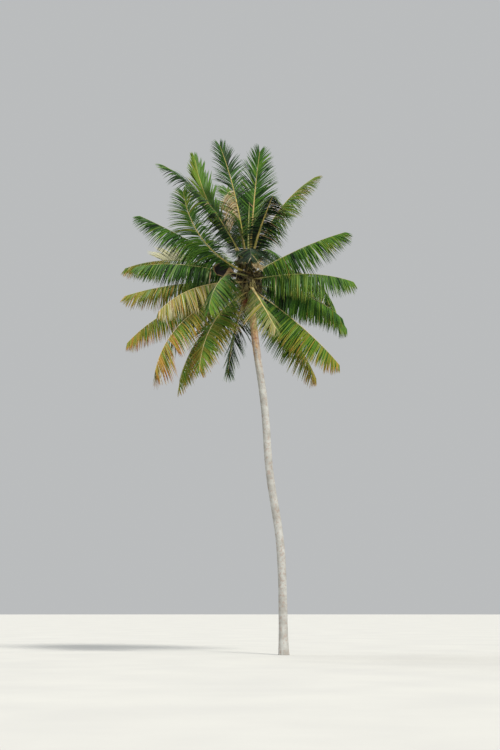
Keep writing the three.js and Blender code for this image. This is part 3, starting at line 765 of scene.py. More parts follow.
def streak_group():
    """Node group: long fibres, a noise on the given vector that is squeezed across and drawn out along one
    axis."""
    if "streaks" in bpy.data.node_groups:
        return bpy.data.node_groups["streaks"]
    tree, given = new_group("streaks", [("Stretch", "NodeSocketVector", (60.0, 60.0, 4.0))],
                            [("Mask", "NodeSocketFloat"), ("Height", "NodeSocketFloat")])
    scaled = add_node(tree, "ShaderNodeVectorMath", {0: given["Vector"], 1: given["Stretch"]},
                      operation="MULTIPLY").outputs[0]
    fibres = noise(tree, scaled, 1.0, 4.0)
    add_node(tree, "NodeGroupOutput", {"Mask": ranged(tree, fibres, 0.38, 0.62), "Height": fibres})
    return tree


def mottle(tree, vector, scale, fine, speckle, *colours):
    """What the mottle group puts out at two scales, between two display colours if they are given."""
    given = {"Vector": vector, "Scale": scale, "Speckle Scale": fine, "Speckle": speckle}
    given.update(zip(("Colour A", "Colour B"), map(display, colours)))
    return add_node(tree, "ShaderNodeGroup", given, node_tree=mottle_group()).outputs


def streaks(tree, vector, stretch):
    """What the streak group puts out for a stretch."""
    given = {"Vector": vector, "Stretch": stretch}
    return add_node(tree, "ShaderNodeGroup", given, node_tree=streak_group()).outputs


def new_material(name, roughness):
    """A material, its node tree and the place on the piece that its patterns read."""
    material = bpy.data.materials.new(name)
    material.use_nodes = True
    tree = material.node_tree
    tree.nodes["Principled BSDF"].inputs["Roughness"].default_value = roughness
    return material, tree, tree.nodes.new("ShaderNodeTexCoord").outputs["Object"]


def coat(tree, colour, height=None, strength=0.0, distance=0.0):
    """Gives the material its colour and, from a height, its fine relief."""
    shader = tree.nodes["Principled BSDF"]
    tree.links.new(colour, shader.inputs["Base Color"])
    if height is not None:
        given = {"Strength": strength, "Distance": distance, "Height": height}
        tree.links.new(add_node(tree, "ShaderNodeBump", given).outputs["Normal"], shader.inputs["Normal"])


def leaf_materials():
    """One plain finish for each age of leaf, from dark green to dry straw, then the bleached ones."""
    made = []
    for name, colour, roughness in LEAF_FINISHES + BLEACHED_FINISHES:
        material = bpy.data.materials.new(name)
        material.use_nodes = True
        shader = material.node_tree.nodes["Principled BSDF"].inputs
        shader["Roughness"].default_value = roughness
        shader["Base Color"].default_value = display(colour)
        shader["Specular IOR Level"].default_value = LEAF_SHINE
        made.append(material)
    return made


def bark_material():
    """Pale grey bark: lichen patches and red-brown specks, darker in the leaf scars, and tan fibres near
    the top."""
    material, tree, vector = new_material("bark", 0.86)
    patches = mottle(tree, vector, 3.2, 46.0, 0.35, (192, 193, 190), (162, 160, 155))
    rust = mottle(tree, vector, 11.0, 90.0, 0.5)["Mask"]
    threads = streaks(tree, vector, (70.0, 70.0, 5.0))
    reddened = mixed(tree, ranged(tree, rust, 0.72, 1.0, 0.0, 0.38), patches["Colour"], (150, 112, 92))
    scar = ranged(tree, attribute(tree, "scar"), 0.15, 1.0, 0.0, 0.55)
    scarred = mixed(tree, scar, reddened, (118, 110, 100))
    fibres = mixed(tree, threads["Mask"], (156, 118, 82), (200, 170, 130))
    worn = mixed(tree, ranged(tree, rust, 0.45, 1.0, 0.0, 0.8), fibres, (128, 72, 46))
    coat(tree, mixed(tree, attribute(tree, "fibre"), scarred, worn), threads["Height"], 0.45, 0.004)
    return material


def stem_material(name, light, dark, foot):
    """Frond stems and ribs: mottled between two colours, another at the foot, and darkened by painted shade
    on the stems of fronds that lie in shade."""
    material, tree, vector = new_material(name, 0.5)
    ground = mottle(tree, vector, 2.4, 38.0, 0.25, light, dark)
    worn = mixed(tree, ranged(tree, attribute(tree, "stem_foot"), 0.1, 1.0), ground["Colour"], foot)
    coat(tree, mixed(tree, attribute(tree, "stem_shade"), worn, SHADED_STEM), ground["Height"], 0.25, 0.003)
    return material


def fibre_material(name, light, dark, roughness=0.9, stretch=(90.0, 90.0, 14.0)):
    """Dry woven fibre: soft blotches between two colours, with darker streaks."""
    material, tree, vector = new_material(name, roughness)
    threads = streaks(tree, vector, stretch)
    blotches = mottle(tree, vector, 7.0, 80.0, 0.4, light, dark)["Colour"]
    deep = tuple(int(c * 0.62) for c in dark)
    shaded = mixed(tree, ranged(tree, threads["Mask"], 0.0, 1.0, 0.0, 0.55), blotches, deep)
    coat(tree, shaded, threads["Height"], 0.5, 0.003)
    return material


def floor_material():
    """Plain pale floor with a barely seen cloudiness."""
    material, tree, vector = new_material("pale_floor", 0.9)
    coat(tree, mottle(tree, vector, 0.35, 9.0, 0.1, (200, 200, 196), (194, 194, 191))["Colour"])
    return material


# Settings that a user would change

class PalmTrunkSettings(bpy.types.PropertyGroup):
    ring_gap: FloatProperty(name="Ring gap", description="Height between two leaf scars", default=0.074,
                            min=0.02, unit="LENGTH")
    ring_depth: FloatProperty(name="Ring depth", description="How far a leaf scar's lip stands out",
                              default=0.0055, min=0.0, unit="LENGTH")
    roughness: FloatProperty(name="Bark relief", description="Height of the bark's lumps and cracks",
                             default=0.0045, min=0.0, unit="LENGTH")
    rows: IntProperty(name="Rows", description="Rings of faces up the trunk", default=960, min=50)
    sides: IntProperty(name="Sides", description="Faces round the trunk", default=72, min=12)


class PalmLeafSettings(bpy.types.PropertyGroup):
    per_side: IntProperty(name="Leaflets a side", description="Leaflets on each side of a frond",
                          default=118, min=20)
    longest: FloatProperty(name="Longest leaflet", description="Length of the longest leaflet", default=1.15,
                           min=0.2, unit="LENGTH")
    half_width: FloatProperty(name="Half width", description="Half width of the widest leaflet",
                              default=0.023, min=0.004, unit="LENGTH")
    fold: FloatProperty(name="Fold", description="How steep the two halves of a leaflet fall from its ridge",
                        default=0.34, min=0.0, subtype="FACTOR")
    gaps: FloatProperty(name="Gaps", description="Share of the leaflets that are missing", default=0.035,
                        min=0.0, max=0.9, subtype="FACTOR")
    seed: IntProperty(name="Seed", description="Picks another spread of leaflets", default=11, min=0)


class PalmHeartSettings(bpy.types.PropertyGroup):
    hairs: IntProperty(name="Hairs", description="Loose fibres round the heart", default=420, min=0)
    hair_length: FloatProperty(name="Hair length", description="Length of the longest loose fibre",
                               default=0.34, min=0.02, unit="LENGTH")
    base_height: FloatProperty(name="Base height", description="How far a stem's base reaches down the heart",
                               default=0.3, min=0.05, unit="LENGTH")
    strips: IntProperty(name="Strips", description="Dry strips that hang round the heart", default=230, min=0)
    stem_strips: IntProperty(name="Stem strips",
                             description="Dry strips that hang from each stem near the heart",
                             default=10, min=1)


class PalmFlowerSettings(bpy.types.PropertyGroup):
    strands: IntProperty(name="Strands", description="Strands of each spray", default=30, min=4)
    buds: IntProperty(name="Buds", description="Buds on each strand of the fresh spray", default=26, min=0)


class PalmStageSettings(bpy.types.PropertyGroup):
    floor_radius: FloatProperty(name="Floor radius", description="Radius of the pale floor", default=400.0,
                                min=30.0, unit="LENGTH")
    key: FloatProperty(name="Key light", description="Strength of the broad light from the front right",
                       default=3.3, min=0.0)
    sky: FloatProperty(name="Room light", description="Strength of the even light from all round",
                       default=0.56, min=0.0)
    wall: FloatVectorProperty(name="Wall", description="Colour of the even light and of the distance",
                              default=(0.88, 0.90, 0.91), subtype="COLOR")


# Pieces

class PALM_OT_stage(bpy.types.Operator):
    """Pale floor, camera at the photograph's viewing angle, one broad light and an even one from all
    round"""

    bl_idname = "palm.stage"
    bl_label = "Floor, camera and lights"

    def execute(self, context):
        settings = context.scene.palm_stage
        scene = context.scene
        lens = bpy.data.cameras.new("camera")
        lens.sensor_fit, lens.sensor_width, lens.lens = "AUTO", CAMERA_SENSOR, CAMERA_LENS
        lens.clip_start, lens.clip_end = CAMERA_RANGE
        camera = bpy.data.objects.new("camera", lens)
        camera.location = CAMERA_PLACE
        camera.rotation_euler = (math.radians(90 + CAMERA_TILT), 0.0, 0.0)
        scene.collection.objects.link(camera)
        scene.camera = camera

        # The floor is a level disc, a fan of triangles round its middle.
        i = np.arange(FLOOR_SIDES)
        turn = 2 * np.pi * i / FLOOR_SIDES
        rim = vectors(np.cos(turn), np.sin(turn), 0.0) * settings.floor_radius
        fan = np.stack([i, (i + 1) % FLOOR_SIDES, np.full(FLOOR_SIDES, FLOOR_SIDES)], axis=-1)
        form = np.concatenate([rim, np.zeros((1, 3))]), None, fan
        make_piece("floor", floor_material(), form)

        for name, (share, aim, width, colour) in LIGHTS.items():
            light = bpy.data.lights.new(name, "SUN")
            light.energy, light.angle, light.color = settings.key * share, math.radians(width), colour
            lamp = bpy.data.objects.new(name, light)
            lamp.rotation_mode = "QUATERNION"
            lamp.rotation_quaternion = Vector(aim).to_track_quat("-Z", "Y")
            scene.collection.objects.link(lamp)

        world = bpy.data.worlds.new("room")
        world.use_nodes = True
        background = world.node_tree.nodes["Background"].inputs
        background["Color"].default_value = (*settings.wall, 1.0)
        background["Strength"].default_value = settings.sky
        scene.world = world
        scene.view_settings.view_transform = "Standard"
        return {"FINISHED"}


def bark_relief(turn, z, settings):
    """How far the bark stands out and how deep a place lies in a scar. The scars are rings whose phase is
    the height over the ring gap, which is narrower near the top, tilted a little round the trunk; each has
    a lip and, just above it, a groove. Slow ripples round and up the trunk make lumps, and upright ones
    make cracks."""
    round_share = turn / (2 * np.pi)
    gap = settings.ring_gap * (1.0 + 0.3 * np.sin(z * 0.55 + 0.7))
    gap = gap * mix(1.0, CLOSER_SHARE, risen(z, CLOSER_SCARS))
    phase = np.cumsum(np.gradient(z[:, 0])[:, None] / gap, axis=0)
    phase = phase + SCAR_TILT * np.sin(turn + 0.9 * np.floor(phase[:, :1]))
    phase = phase + SCAR_STRAY * ripple(round_share, 3, 2.0)
    part = phase - np.floor(phase)
    strength = 0.55 + 0.45 * ripple(np.floor(phase[:, :1]) * 0.37, 5) + 0.25 * np.sin(2 * turn + z * 1.7)
    lip = np.exp(-((part - LIP[0]) / LIP[1]) ** 2)
    groove = np.exp(-((part - GROOVE[0]) / GROOVE[1]) ** 2)
    fade = 1 - risen(z, FADING_SCARS)
    rings = settings.ring_depth * (lip * np.clip(strength, 0.25, 1.2) - GROOVE_DEPTH * groove) * fade
    lumps = (ripple(round_share * 2 + z * 0.21, 7) * np.sin(z * 2.3 + 1.1 * np.sin(turn))
             + 0.5 * np.sin(3 * turn + z * 0.9) * np.sin(z * 5.1 + turn))
    cracks = (-np.clip(np.sin(13 * turn + 2.0 * np.sin(z * 0.8) + 1.3 * np.sin(z * 3.1)) - 0.72, 0, 1)
              * (0.45 + fading(z, 1.6, 1.2)))
    relief = rings + settings.roughness * (lumps * 0.8 + cracks * 1.8)
    return relief, groove * np.clip(strength, 0.2, 1.1) * fade


class PALM_OT_trunk(bpy.types.Operator):
    """The trunk with its ring scars, lumps and cracks, from its flat cut at the ground to the heart's
    tip"""

    bl_idname = "palm.trunk"
    bl_label = "Trunk"

    def execute(self, context):
        settings = context.scene.palm_trunk
        rows, sides = settings.rows, settings.sides
        # Rings up the trunk at its own radius, a little sunk, with the bark's relief and the root's lumps: a
        # sine round the trunk that dies out upwards.
        z = np.linspace(0.0, HEART_TOP, rows)[:, None]
        turn = (2 * np.pi * np.arange(sides) / sides)[None, :]
        relief, scar = bark_relief(turn + 0 * z, z + 0 * turn, settings)
        lumps = fading(z, *ROOT_LUMPS) * np.sin(9 * turn + 2 * np.sin(3 * turn))
        points = on_heart(turn, z, -BARK_INSET + relief + lumps)
        points = np.concatenate([points.reshape(-1, 3), [[0, 0, 0]], points[-1].mean(0)[None]])
        form = points, ring_faces(rows, sides), end_fans(rows, sides)
        piece = make_piece("trunk_bark", bark_material(), form, soft=True)
        z = points[:, 2]
        turn = np.concatenate([np.tile(turn[0], rows), [0, 0]])
        strays = 0.5 * ripple(z * 0.6, 9) * np.cos(2 * turn) + 0.3 * np.cos(5 * turn + 3 * z)
        set_values(piece, "scar", np.concatenate([scar.ravel(), [0, 0]]))
        set_values(piece, "fibre", risen(z + strays, FIBRE_START))
        dress(piece, "trunk", "trunk")
        return {"FINISHED"}


def nodes_of(names):
    """CAD nodes of the named fronds: two for a frond that is in two."""
    ends = {name: ("_inner", "_outer") if name in SPLIT else ("",) for name in names}
    return [name + end for name in names for end in ends[name]]


class PALM_OT_stems(bpy.types.Operator):
    """Stems and ribs of the fronds: broad at the heart, hollowed above, and running out to a thin rib"""

    bl_idname = "palm.stems"
    bl_label = "Stems and ribs"

    def execute(self, context):
        finishes = {
            "young": stem_material("stem_young", (206, 182, 108), (158, 150, 70), (170, 136, 80)),
            "grown": stem_material("stem_grown", (206, 200, 136), (156, 160, 84), (150, 118, 70)),
            "old": stem_material("stem_old", (218, 204, 146), (188, 164, 96), (146, 108, 66)),
        }
        u = np.concatenate([np.linspace(0, 0.2, 22), np.linspace(0.2, 1, 50)[1:]])
        for age, names in AGES.items():
            heap, feet, shades = Heap(), [], []
            for name in names:
                points, quads, tris, foot = self.stem(name, u)
                heap.add(points, quads, tris)
                feet.append(foot)
                # How much painted shade each stem has.
                shades.append(np.full(len(points), STEM_SHADES.get(name, 0.0)))
            piece = heap.build(f"frond_stems_{age}", [finishes[age]], soft=True)
            set_values(piece, "stem_foot", np.concatenate(feet))
            set_values(piece, "stem_shade", np.concatenate(shades))
            dress(piece, f"frond_{age}", *nodes_of(names))
        return {"FINISHED"}

    @staticmethod
    def stem(name, u):
        """A stem's points and faces, and how much of the foot's colour each point has. The section is an
        oval, a little narrower and hollowed above by the sine of its turn."""
        spine, _, side, up = rib_at(name, u)
        wide, high = rib_half(u)
        gone = np.maximum(0.0, u * (FRONDS[name].length * RIB_SHARE) - STEM_HIDDEN)
        wide = wide + fading(gone, *STEM_BROADER) + fading(gone, *STEM_CLASP)
        across, tall, turn = oval(wide, high + fading(gone, *STEM_HIGHER), STEM_SIDES)
        above = np.clip(np.sin(turn), 0, 1)
        hollow = fading(u, *STEM_HOLLOW)[:, None]
        tall = tall * np.where(above > 0, STEM_TOP - hollow * above, 1.0)
        foot = np.concatenate([np.repeat(fading(gone, 1.0, STEM_BROWN), STEM_SIDES), [1.0, 0.0]])
        return *tube(spine, side, up, across * (1 - STEM_NARROWER * above), tall), foot


class PALM_OT_leaflets(bpy.types.Operator):
    """Leaflets of the fronds, two rows to a frond, drooping by their own weight and tinted by their age, with
    painted shade on some
    """

    bl_idname = "palm.leaflets"
    bl_label = "Leaflets"

    def execute(self, context):
        finishes = leaf_materials()
        for age, names in AGES.items():
            heap = Heap()
            for name in names:
                self.frond(heap, name, context.scene.palm_leaf)
            dress(heap.build(f"frond_leaflets_{age}", finishes), f"frond_{age}", *nodes_of(names))
        return {"FINISHED"}

    def frond(self, heap, name, settings):
        """One frond's leaflets. Each leaves the rib at an angle that closes from the stem to the tip,
        lifted a little, and sags with the frond's droop; slow ripples along the rib bring neighbours
        together in clumps, and the leaflets of a small tuft stray together."""
        frond, number = FRONDS[name], int(name[-2:])
        rng = np.random.default_rng(settings.seed * 100 + number)
        count = settings.per_side
        v = np.tile((np.arange(count) + 0.5) / count, 2)
        hand = np.repeat([1.0, -1.0], count)
        m = len(v)
        v = np.clip(v + rng.uniform(-STEP_PLAY, STEP_PLAY, m) / count, 0, 1)
        line = v + np.where(hand > 0, 0.0, 3.7)
        clump = ripple(line * 3, number * 3 + 1, 1.3)
        patch = ripple(line * 1.5, number * 3 + 2)
        fine = np.sin(2 * np.pi * (line * 31 + 1.5 * clump))
        tuft = (line * count / TUFT_SIZE + 1.2 * clump).astype(int) % TUFTS
        loose = rng.normal(0, 1, (4, TUFTS))[:, tuft]

        def strayed(k, spread):
            return spread[0] * loose[k] + rng.normal(0, spread[1], m)

        angle = np.radians(frond.spread * mix(1.0, ANGLE_SHARE, v ** ANGLE_FALL) + CLUMP_ANGLE * clump
                           + strayed(0, ANGLE_SPREAD))
        tent = np.radians(frond.hang + PATCH_HANG * patch + FINE_HANG * fine + strayed(1, HANG_SPREAD))
        share = leaflet_share(v) * (1 - TIP_SHORTER * smooth((v - TIP_FROM) / (1 - TIP_FROM)))
        share = np.minimum(share * (1 + CLUMP_LENGTH * clump + strayed(2, LENGTH_SPREAD)), LONGEST_SHARE)
        sag = frond.droop * LEAFLET_BEND * (1 + PATCH_SAG * patch + rng.normal(0, SAG_PLAY, m))
        sag = sag * np.sqrt(np.maximum(share, SHORT_SAG))
        curl = rng.normal(*CURL_PLAY, m)
        twist = FINE_TWIST * fine + CLUMP_TWIST * clump + rng.normal(0, TWIST_PLAY, m)
        half = settings.half_width * mix(SHORT_WIDTH, 1.0, share) * (1 + rng.normal(0, WIDTH_PLAY, m))
        tint = mix(frond.near, frond.far, v) + PATCH_TINT * patch + FINE_TINT * fine + strayed(3, TINT_SPREAD)
        # Painted shade: a share of the leaflets are dealt darker, in place of shaded gaps; others look older.
        tint = tint - SHADOW_LEAFLETS[1] * (rng.random(m) < SHADOW_LEAFLETS[0]) + OLDER[1] * (rng.random(m) < OLDER[0])
        # Painted shade near the heart: darker greens close to the stem.
        tint = tint - fading(v, *SHADE_AT_FOOT)
        grown = frond.ends * (END_PLAY[0] + END_PLAY[1] * rng.random(m))
        keep = rng.random(m) > settings.gaps
        plain = np.ones(m, bool)
        for group in LEAFLET_GROUPS:
            if group.frond != name:
                continue
            here = (hand == group.hand) & (v > group.start) & (v < group.stop) & (rng.random(m) < group.part)
            plain &= ~here
            share = np.where(here, share * group.long, share)
            half = np.where(here, half * group.broad, half)
            if group.age is not None:
                tint = np.where(here, group.age + rng.normal(0, 0.03, m), tint)
                sag = np.where(here, group.sag * (1 + rng.normal(0, 0.15, m)), sag)
                grown = np.where(here, 0.0, grown)
            if group.hang is not None:
                tent = np.where(here, np.radians(group.hang + rng.normal(0, 5, m)), tent)
                angle = np.where(here, np.radians(group.angle + rng.normal(0, 3, m)), angle)
        stray = (rng.random(m) < STRAY_PART) & plain
        tint = np.where(stray, np.maximum(tint, STRAY_AGE + (1 - STRAY_AGE) * rng.random(m)), tint)
        pale = (rng.random(m) < BLEACHED.get(name, 0.0)) | (tint > BLEACHED_AGE)

        u = mix(BLADE_STARTS.get(name, BLADE_START), BLADE_END, v)
        point, along, side, up = rib_at(name, u)
        wide, high = rib_half(u)
        aim = unit(along * np.cos(angle)[:, None] + side * (hand * np.sin(angle) * np.cos(tent))[:, None]
                   - up * (np.sin(angle) * np.sin(tent))[:, None])
        rise = high * SEAT_UP[0 if frond.hang < 0 else 1]
        root = point + side * (hand * wide * SEAT_OUT)[:, None] + up * rise[:, None]
        rows = root, aim, along * hand[:, None], settings.longest * share, half, sag, twist, curl
        points, quads, tris, quad_at, tri_at = blades(*(row[keep] for row in rows), settings.fold)

        def finish(at, under):
            """Which finish a face has: the leaflet's tint, aged towards its end and darkened below by painted
            shade, in steps."""
            face_age_and_shade = tint[keep, None] + grown[keep, None] * risen(at, OLDER_END) - SHADE_BELOW * under
            top, palest = len(LEAF_FINISHES) - 1, len(BLEACHED_FINISHES) - 1
            own = np.clip(np.round(face_age_and_shade * top), 0, top)
            bleached = top + 1 + np.clip(np.round((face_age_and_shade - BLEACHED_FROM) * BLEACHED_STEPS), 0, palest)
            return np.where(pale[keep, None], bleached, own).astype(int).ravel()

        # Painted shade: the lower faces of each leaflet, under its roof, are dealt darker greens.
        below = np.concatenate([[1], np.tile([1, 1, 0, 0], LEAFLET_SEGMENTS - 1)])
        heap.add(points, quads, tris, finish(quad_at, below), finish(tri_at, np.array([1, 1, 0, 0])))


def level_out(turn):
    """Level directions that point out at an angle."""
    return vectors(np.cos(turn), np.sin(turn), 0.0)


def dry_strips(rng, root, aim, across, length, half, sag, segments):
    """Thin blades from their roots, with lengths, half widths and sags dealt out of the given ranges."""
    n = len(root)
    return blades(root, aim, across, rng.uniform(*length, n), rng.uniform(*half, n), rng.uniform(*sag, n),
                  rng.normal(0, 0.9, n), rng.normal(0, 0.3, n), thick=STRIP_THICKNESS, segments=segments)[:3]


class PALM_OT_heart(bpy.types.Operator):
    """Clasping bases of the stems, ragged cloth between them and loose fibres and strips round the heart"""

    bl_idname = "palm.heart"
    bl_label = "Heart of the crown"

    def execute(self, context):
        settings = context.scene.palm_heart
        bases, cloth, loose = Heap(), Heap(), Heap()
        for number, (name, frond) in enumerate(FRONDS.items()):
            bases.add(*self.clasp(number, frond, settings.base_height))
            cloth.add(*self.flap(number, name))
            if number % 2 == 0:
                cloth.add(*self.collar(number, frond))
        rng = np.random.default_rng(5)
        for form in (self.hairs(rng, settings), self.strips(rng, settings.strips),
                     *(self.stem_strips(rng, name, settings.stem_strips) for name in FRONDS)):
            loose.add(*form)
        for name, heap, finish, soft in (
            ("stem_bases", bases, fibre_material("stem_base", (158, 132, 86), (112, 84, 54)), True),
            # The cloth's dark olive is partly the fibre's own brown and partly painted shade for the shaded
            # heart of the crown.
            ("fibre_cloth_and_painted_shade", cloth, fibre_material("fibre_cloth_and_painted_shade", (112, 98, 62), (46, 46, 28)), True),
            ("loose_fibres", loose, fibre_material("loose_fibre", (206, 192, 132), (136, 128, 74)), False),
        ):
            dress(heap.build(name, [finish], soft), "trunk")
        return {"FINISHED"}

    @staticmethod
    def clasp(number, frond, reach):
        """A stem's base: a plate on the heart, broad at its ragged foot and narrow where the stem leaves,
        which stands out more along its middle and towards its top."""
        leave = frond.base + math.tan(math.radians(min(frond.rise, STEEPEST))) * STEM_LEAVES
        s, c = grid(15, 17)
        z = mix(max(HEART_LOW - 0.10, leave - reach), leave + 0.02, s)
        turn = np.radians(frond.azimuth + c * mix(*BASE_CLASP, smooth(s) ** 0.8))
        ragged = 0.05 * (1 - s) * c ** 2 * (1 + ripple(c * 2, number))
        proud = 0.004 + 0.030 * (1 - c * c) * s ** 1.5 + 0.0015 * (number % 5)
        return shell(on_heart(turn, z + ragged, proud), BASE_THICKNESS)

    @staticmethod
    def flap(number, name):
        """Cloth that hangs over a stem near the heart: it runs along the stem to a ragged end, spans it
        from side to side, and falls with the square of the way across."""
        s, c = grid(13, 15)
        out = mix(0.05, 0.34 + 0.12 * ripple(number * 0.37, 3) + 0.14 * ripple(c * 1.5, number + 120), s)
        u = np.clip(out / (FRONDS[name].length * RIB_SHARE), 0, 1)
        point, _, side, up = (rows.reshape(*s.shape, 3) for rows in rib_at(name, u.ravel()))
        reach = mix(0.26, 0.15, s) * c
        fall = 0.02 + 0.20 * c * c * (0.5 + s) + 0.03 * ripple(c * 3 + s * 2, number + 160)
        return shell(point + side * reach[..., None] - up * fall[..., None], CLOTH_THICKNESS)

    @staticmethod
    def collar(number, frond):
        """Cloth round the heart beside a stem, which stands off with the square of the way up to its ragged
        top."""
        s, c = grid(12, 21)
        z = mix(frond.base - 0.12, frond.base + 0.16 + 0.10 * ripple(c * 3, number + 40), s)
        turn = np.radians(frond.azimuth + 25 + c * 58)
        proud = 0.012 + 0.028 * s * s * (1 + 0.6 * ripple(c * 4 + s, number + 80))
        return shell(on_heart(turn, np.minimum(z, HEART_TOP - 0.05), proud), CLOTH_THICKNESS)

    @staticmethod
    def hairs(rng, settings):
        """Loose fibres that leave the heart outwards, some rising and some falling."""
        n = settings.hairs
        z = rng.uniform(*HAIR_HEIGHTS, n)
        turn = rng.uniform(0, 2 * np.pi, n)
        out = level_out(turn)
        aim = unit(out * rng.uniform(0.4, 1.0, n)[:, None] - DOWN * rng.uniform(-0.5, 0.9, n)[:, None])
        across = unit(np.cross(aim, out + np.array([0.1, 0.2, 0.9])))
        length = settings.hair_length * rng.uniform(0.3, 1.0, n)
        return blades(on_heart(turn, z, 0.002), aim, across, length, np.full(n, HAIR_HALF),
                      rng.uniform(0.8, 2.6, n), rng.normal(0, 0.6, n), rng.normal(0, 0.5, n),
                      thick=STRIP_THICKNESS, segments=6)[:3]

    @staticmethod
    def strips(rng, n):
        """Dry strips that leave the heart outwards and hang, half of them on its thick side."""
        z = rng.uniform(*STRIP_HEIGHTS, n)
        turn = np.where(rng.random(n) < 0.5, rng.uniform(*THICK_SIDE, n), rng.uniform(0, 2 * np.pi, n))
        across = vectors(-np.sin(turn), np.cos(turn), 0.0)
        return dry_strips(rng, on_heart(turn, z, 0.004), unit(level_out(turn) + DOWN * 0.3), across,
                          (0.30, 0.95), (0.006, 0.016), (2.0, 5.0), 8)

    @staticmethod
    def stem_strips(rng, name, n):
        """Dry strips that hang from both sides of a stem, near the heart."""
        point, along, side, up = rib_at(name, rng.uniform(*STEM_STRIP_PLACES, n))
        hand = rng.choice([-1.0, 1.0], n)[:, None]
        return dry_strips(rng, point - up * 0.015, unit(side * hand + DOWN * 0.9), along,
                          (0.12, 0.5), (0.006, 0.014), (1.5, 4.0), 6)


class PALM_OT_spear(bpy.types.Operator):
    """The young leaf, still folded, that stands on the heart's tip"""

    bl_idname = "palm.spear"
    bl_label = "Folded young leaf"

    def execute(self, context):
        # A round tube that tapers by straight steps, with pleats by a cosine round it, and leans with the
        # square of the way up.
        t = np.linspace(0, 1, SPEAR_RINGS)
        foot = vectors(lean(HEART_TOP), 0.0, HEART_TOP - 0.01)
        radius = SPEAR_RADIUS * np.interp(t, *SPEAR_TAPER)
        side, up = np.tile([1.0, 0.0, 0.0], (SPEAR_RINGS, 1)), np.tile([0.0, 1.0, 0.0], (SPEAR_RINGS, 1))
        across, tall, turn = oval(radius, radius, SPEAR_SIDES)
        pleats = 1 + SPEAR_PLEAT_DEPTH * np.cos(SPEAR_PLEATS * turn)
        spine = foot + vectors(SPEAR_LEAN * t * t, 0.0, SPEAR_LENGTH * t)
        form = tube(spine, side, up, across * pleats, tall * pleats)
        finish = fibre_material("spear", (196, 196, 128), (150, 158, 84), 0.55, (80.0, 80.0, 3.0))
        dress(make_piece("spear_leaf_pleated", finish, form, soft=True), "spear_leaf", "spear_leaf")
        return {"FINISHED"}


class PALM_OT_flowers(bpy.types.Operator):
    """The fresh spray with its buds and the dried one, each a stalk with many fine strands"""

    bl_idname = "palm.flowers"
    bl_label = "Flower sprays"

    def execute(self, context):
        fresh = fibre_material("fresh_flower", (250, 236, 196), (228, 198, 140), 0.7)
        dried = fibre_material("dried_flower", (168, 96, 60), (118, 62, 42), 0.85)
        for node, spray, finish, seed, slot in (
            ("fresh_flower_spray", FRESH_SPRAY, fresh, 21, "fresh_flowers"),
            ("dried_flower_spray", DRIED_SPRAY, dried, 22, "dried_flowers"),
        ):
            heap = Heap()
            self.spray(heap, spray, seed, context.scene.palm_flower, slot == "fresh_flowers")
            dress(heap.build(f"{node}_fine", [finish]), slot, node)
        return {"FINISHED"}

    def spray(self, heap, spray, seed, settings, budded):
        """A spray's stalk, a straight tapering tube, and its strands: they leave the outer half of the
        stalk in turn, fan out to both sides, less so towards its end, and each has its own lift."""
        azimuth, rise, base, stalk, strand, droop = spray
        count = settings.strands
        rng = np.random.default_rng(seed)
        root = vectors(lean(base), 0.0, base)
        along = aimed(azimuth, rise)
        reach = float(trunk_radius(base)) / math.cos(math.radians(rise)) + stalk
        t = np.linspace(0, 1, count)
        start = root + along * (reach - stalk * STRANDS_FROM * (1 - t) - STALK_RADIUS[1])[:, None]
        fan = STRAND_SPREAD * np.where(np.arange(count) % 2, 1, -1) * (1 - STRAND_CLOSING * t)
        fan = fan * rng.uniform(0.3, 1.1, count)
        aim = aimed(azimuth + fan, rise + rng.uniform(-STRAND_LIFT, STRAND_LIFT, count))
        length = strand * rng.uniform(0.72, 1.0, count)

        t = np.linspace(0, 1, STALK_RINGS)
        lead = unit(np.cross(along, -DOWN))
        side, up = (np.tile(way, (STALK_RINGS, 1)) for way in (lead, np.cross(lead, along)))
        radius = mix(*STALK_RADIUS, t)
        across, tall, _ = oval(radius, radius * 0.8, STALK_SIDES)
        heap.add(*tube(root + along * (t * reach)[:, None], side, up, across, tall))

        rng = np.random.default_rng(seed + 50)
        points, quads, tris, _, _ = blades(
            start, aim, unit(np.cross(aim, -DOWN)), length, np.full(count, STRAND_HALF),
            droop * rng.uniform(0.8, 1.2, count), rng.normal(0, 0.4, count), rng.normal(0.2, 0.35, count),
            0.2, STRAND_THICKNESS, STRAND_SEGMENTS, lambda at: 1 - 0.55 * at)
        heap.add(points, quads, tris)
        if budded:
            heap.add(*self.buds(points, count, settings.buds, rng))

    @staticmethod
    def buds(points, count, buds, rng):
        """Beads along each strand's spine, at even steps with a little play, each of a random size. A bead
        has the six points of an octahedron, a little higher than wide."""
        rings = points.reshape(count, -1, 3)
        spine = np.concatenate([rings[:, :-1].reshape(count, -1, 4, 3).mean(axis=2), rings[:, -1:]], axis=1)
        steps = spine.shape[1] - 1
        place = np.tile(np.linspace(0.08, 0.97, buds), (count, 1)) * steps
        k = np.minimum(place.astype(int), steps - 1)
        part = (place - k)[..., None]
        rows = np.arange(count)[:, None]
        middle = (spine[rows, k] * (1 - part) + spine[rows, k + 1] * part).reshape(-1, 3)
        middle = middle + rng.normal(0, BUD_PLAY, middle.shape)
        form = np.array([[1, 0, 0], [-1, 0, 0], [0, 1, 0], [0, -1, 0], [0, 0, 1.25], [0, 0, -1.25]])
        faces = np.array([[0, 2, 4], [2, 1, 4], [1, 3, 4], [3, 0, 4],
                          [2, 0, 5], [1, 2, 5], [3, 1, 5], [0, 3, 5]])
        beads = middle[:, None, :] + form * rng.uniform(*BUD_SIZE, len(middle))[:, None, None]
        shift = (np.arange(len(middle)) * len(form))[:, None, None]
        return beads.reshape(-1, 3), None, (faces + shift).reshape(-1, 3)


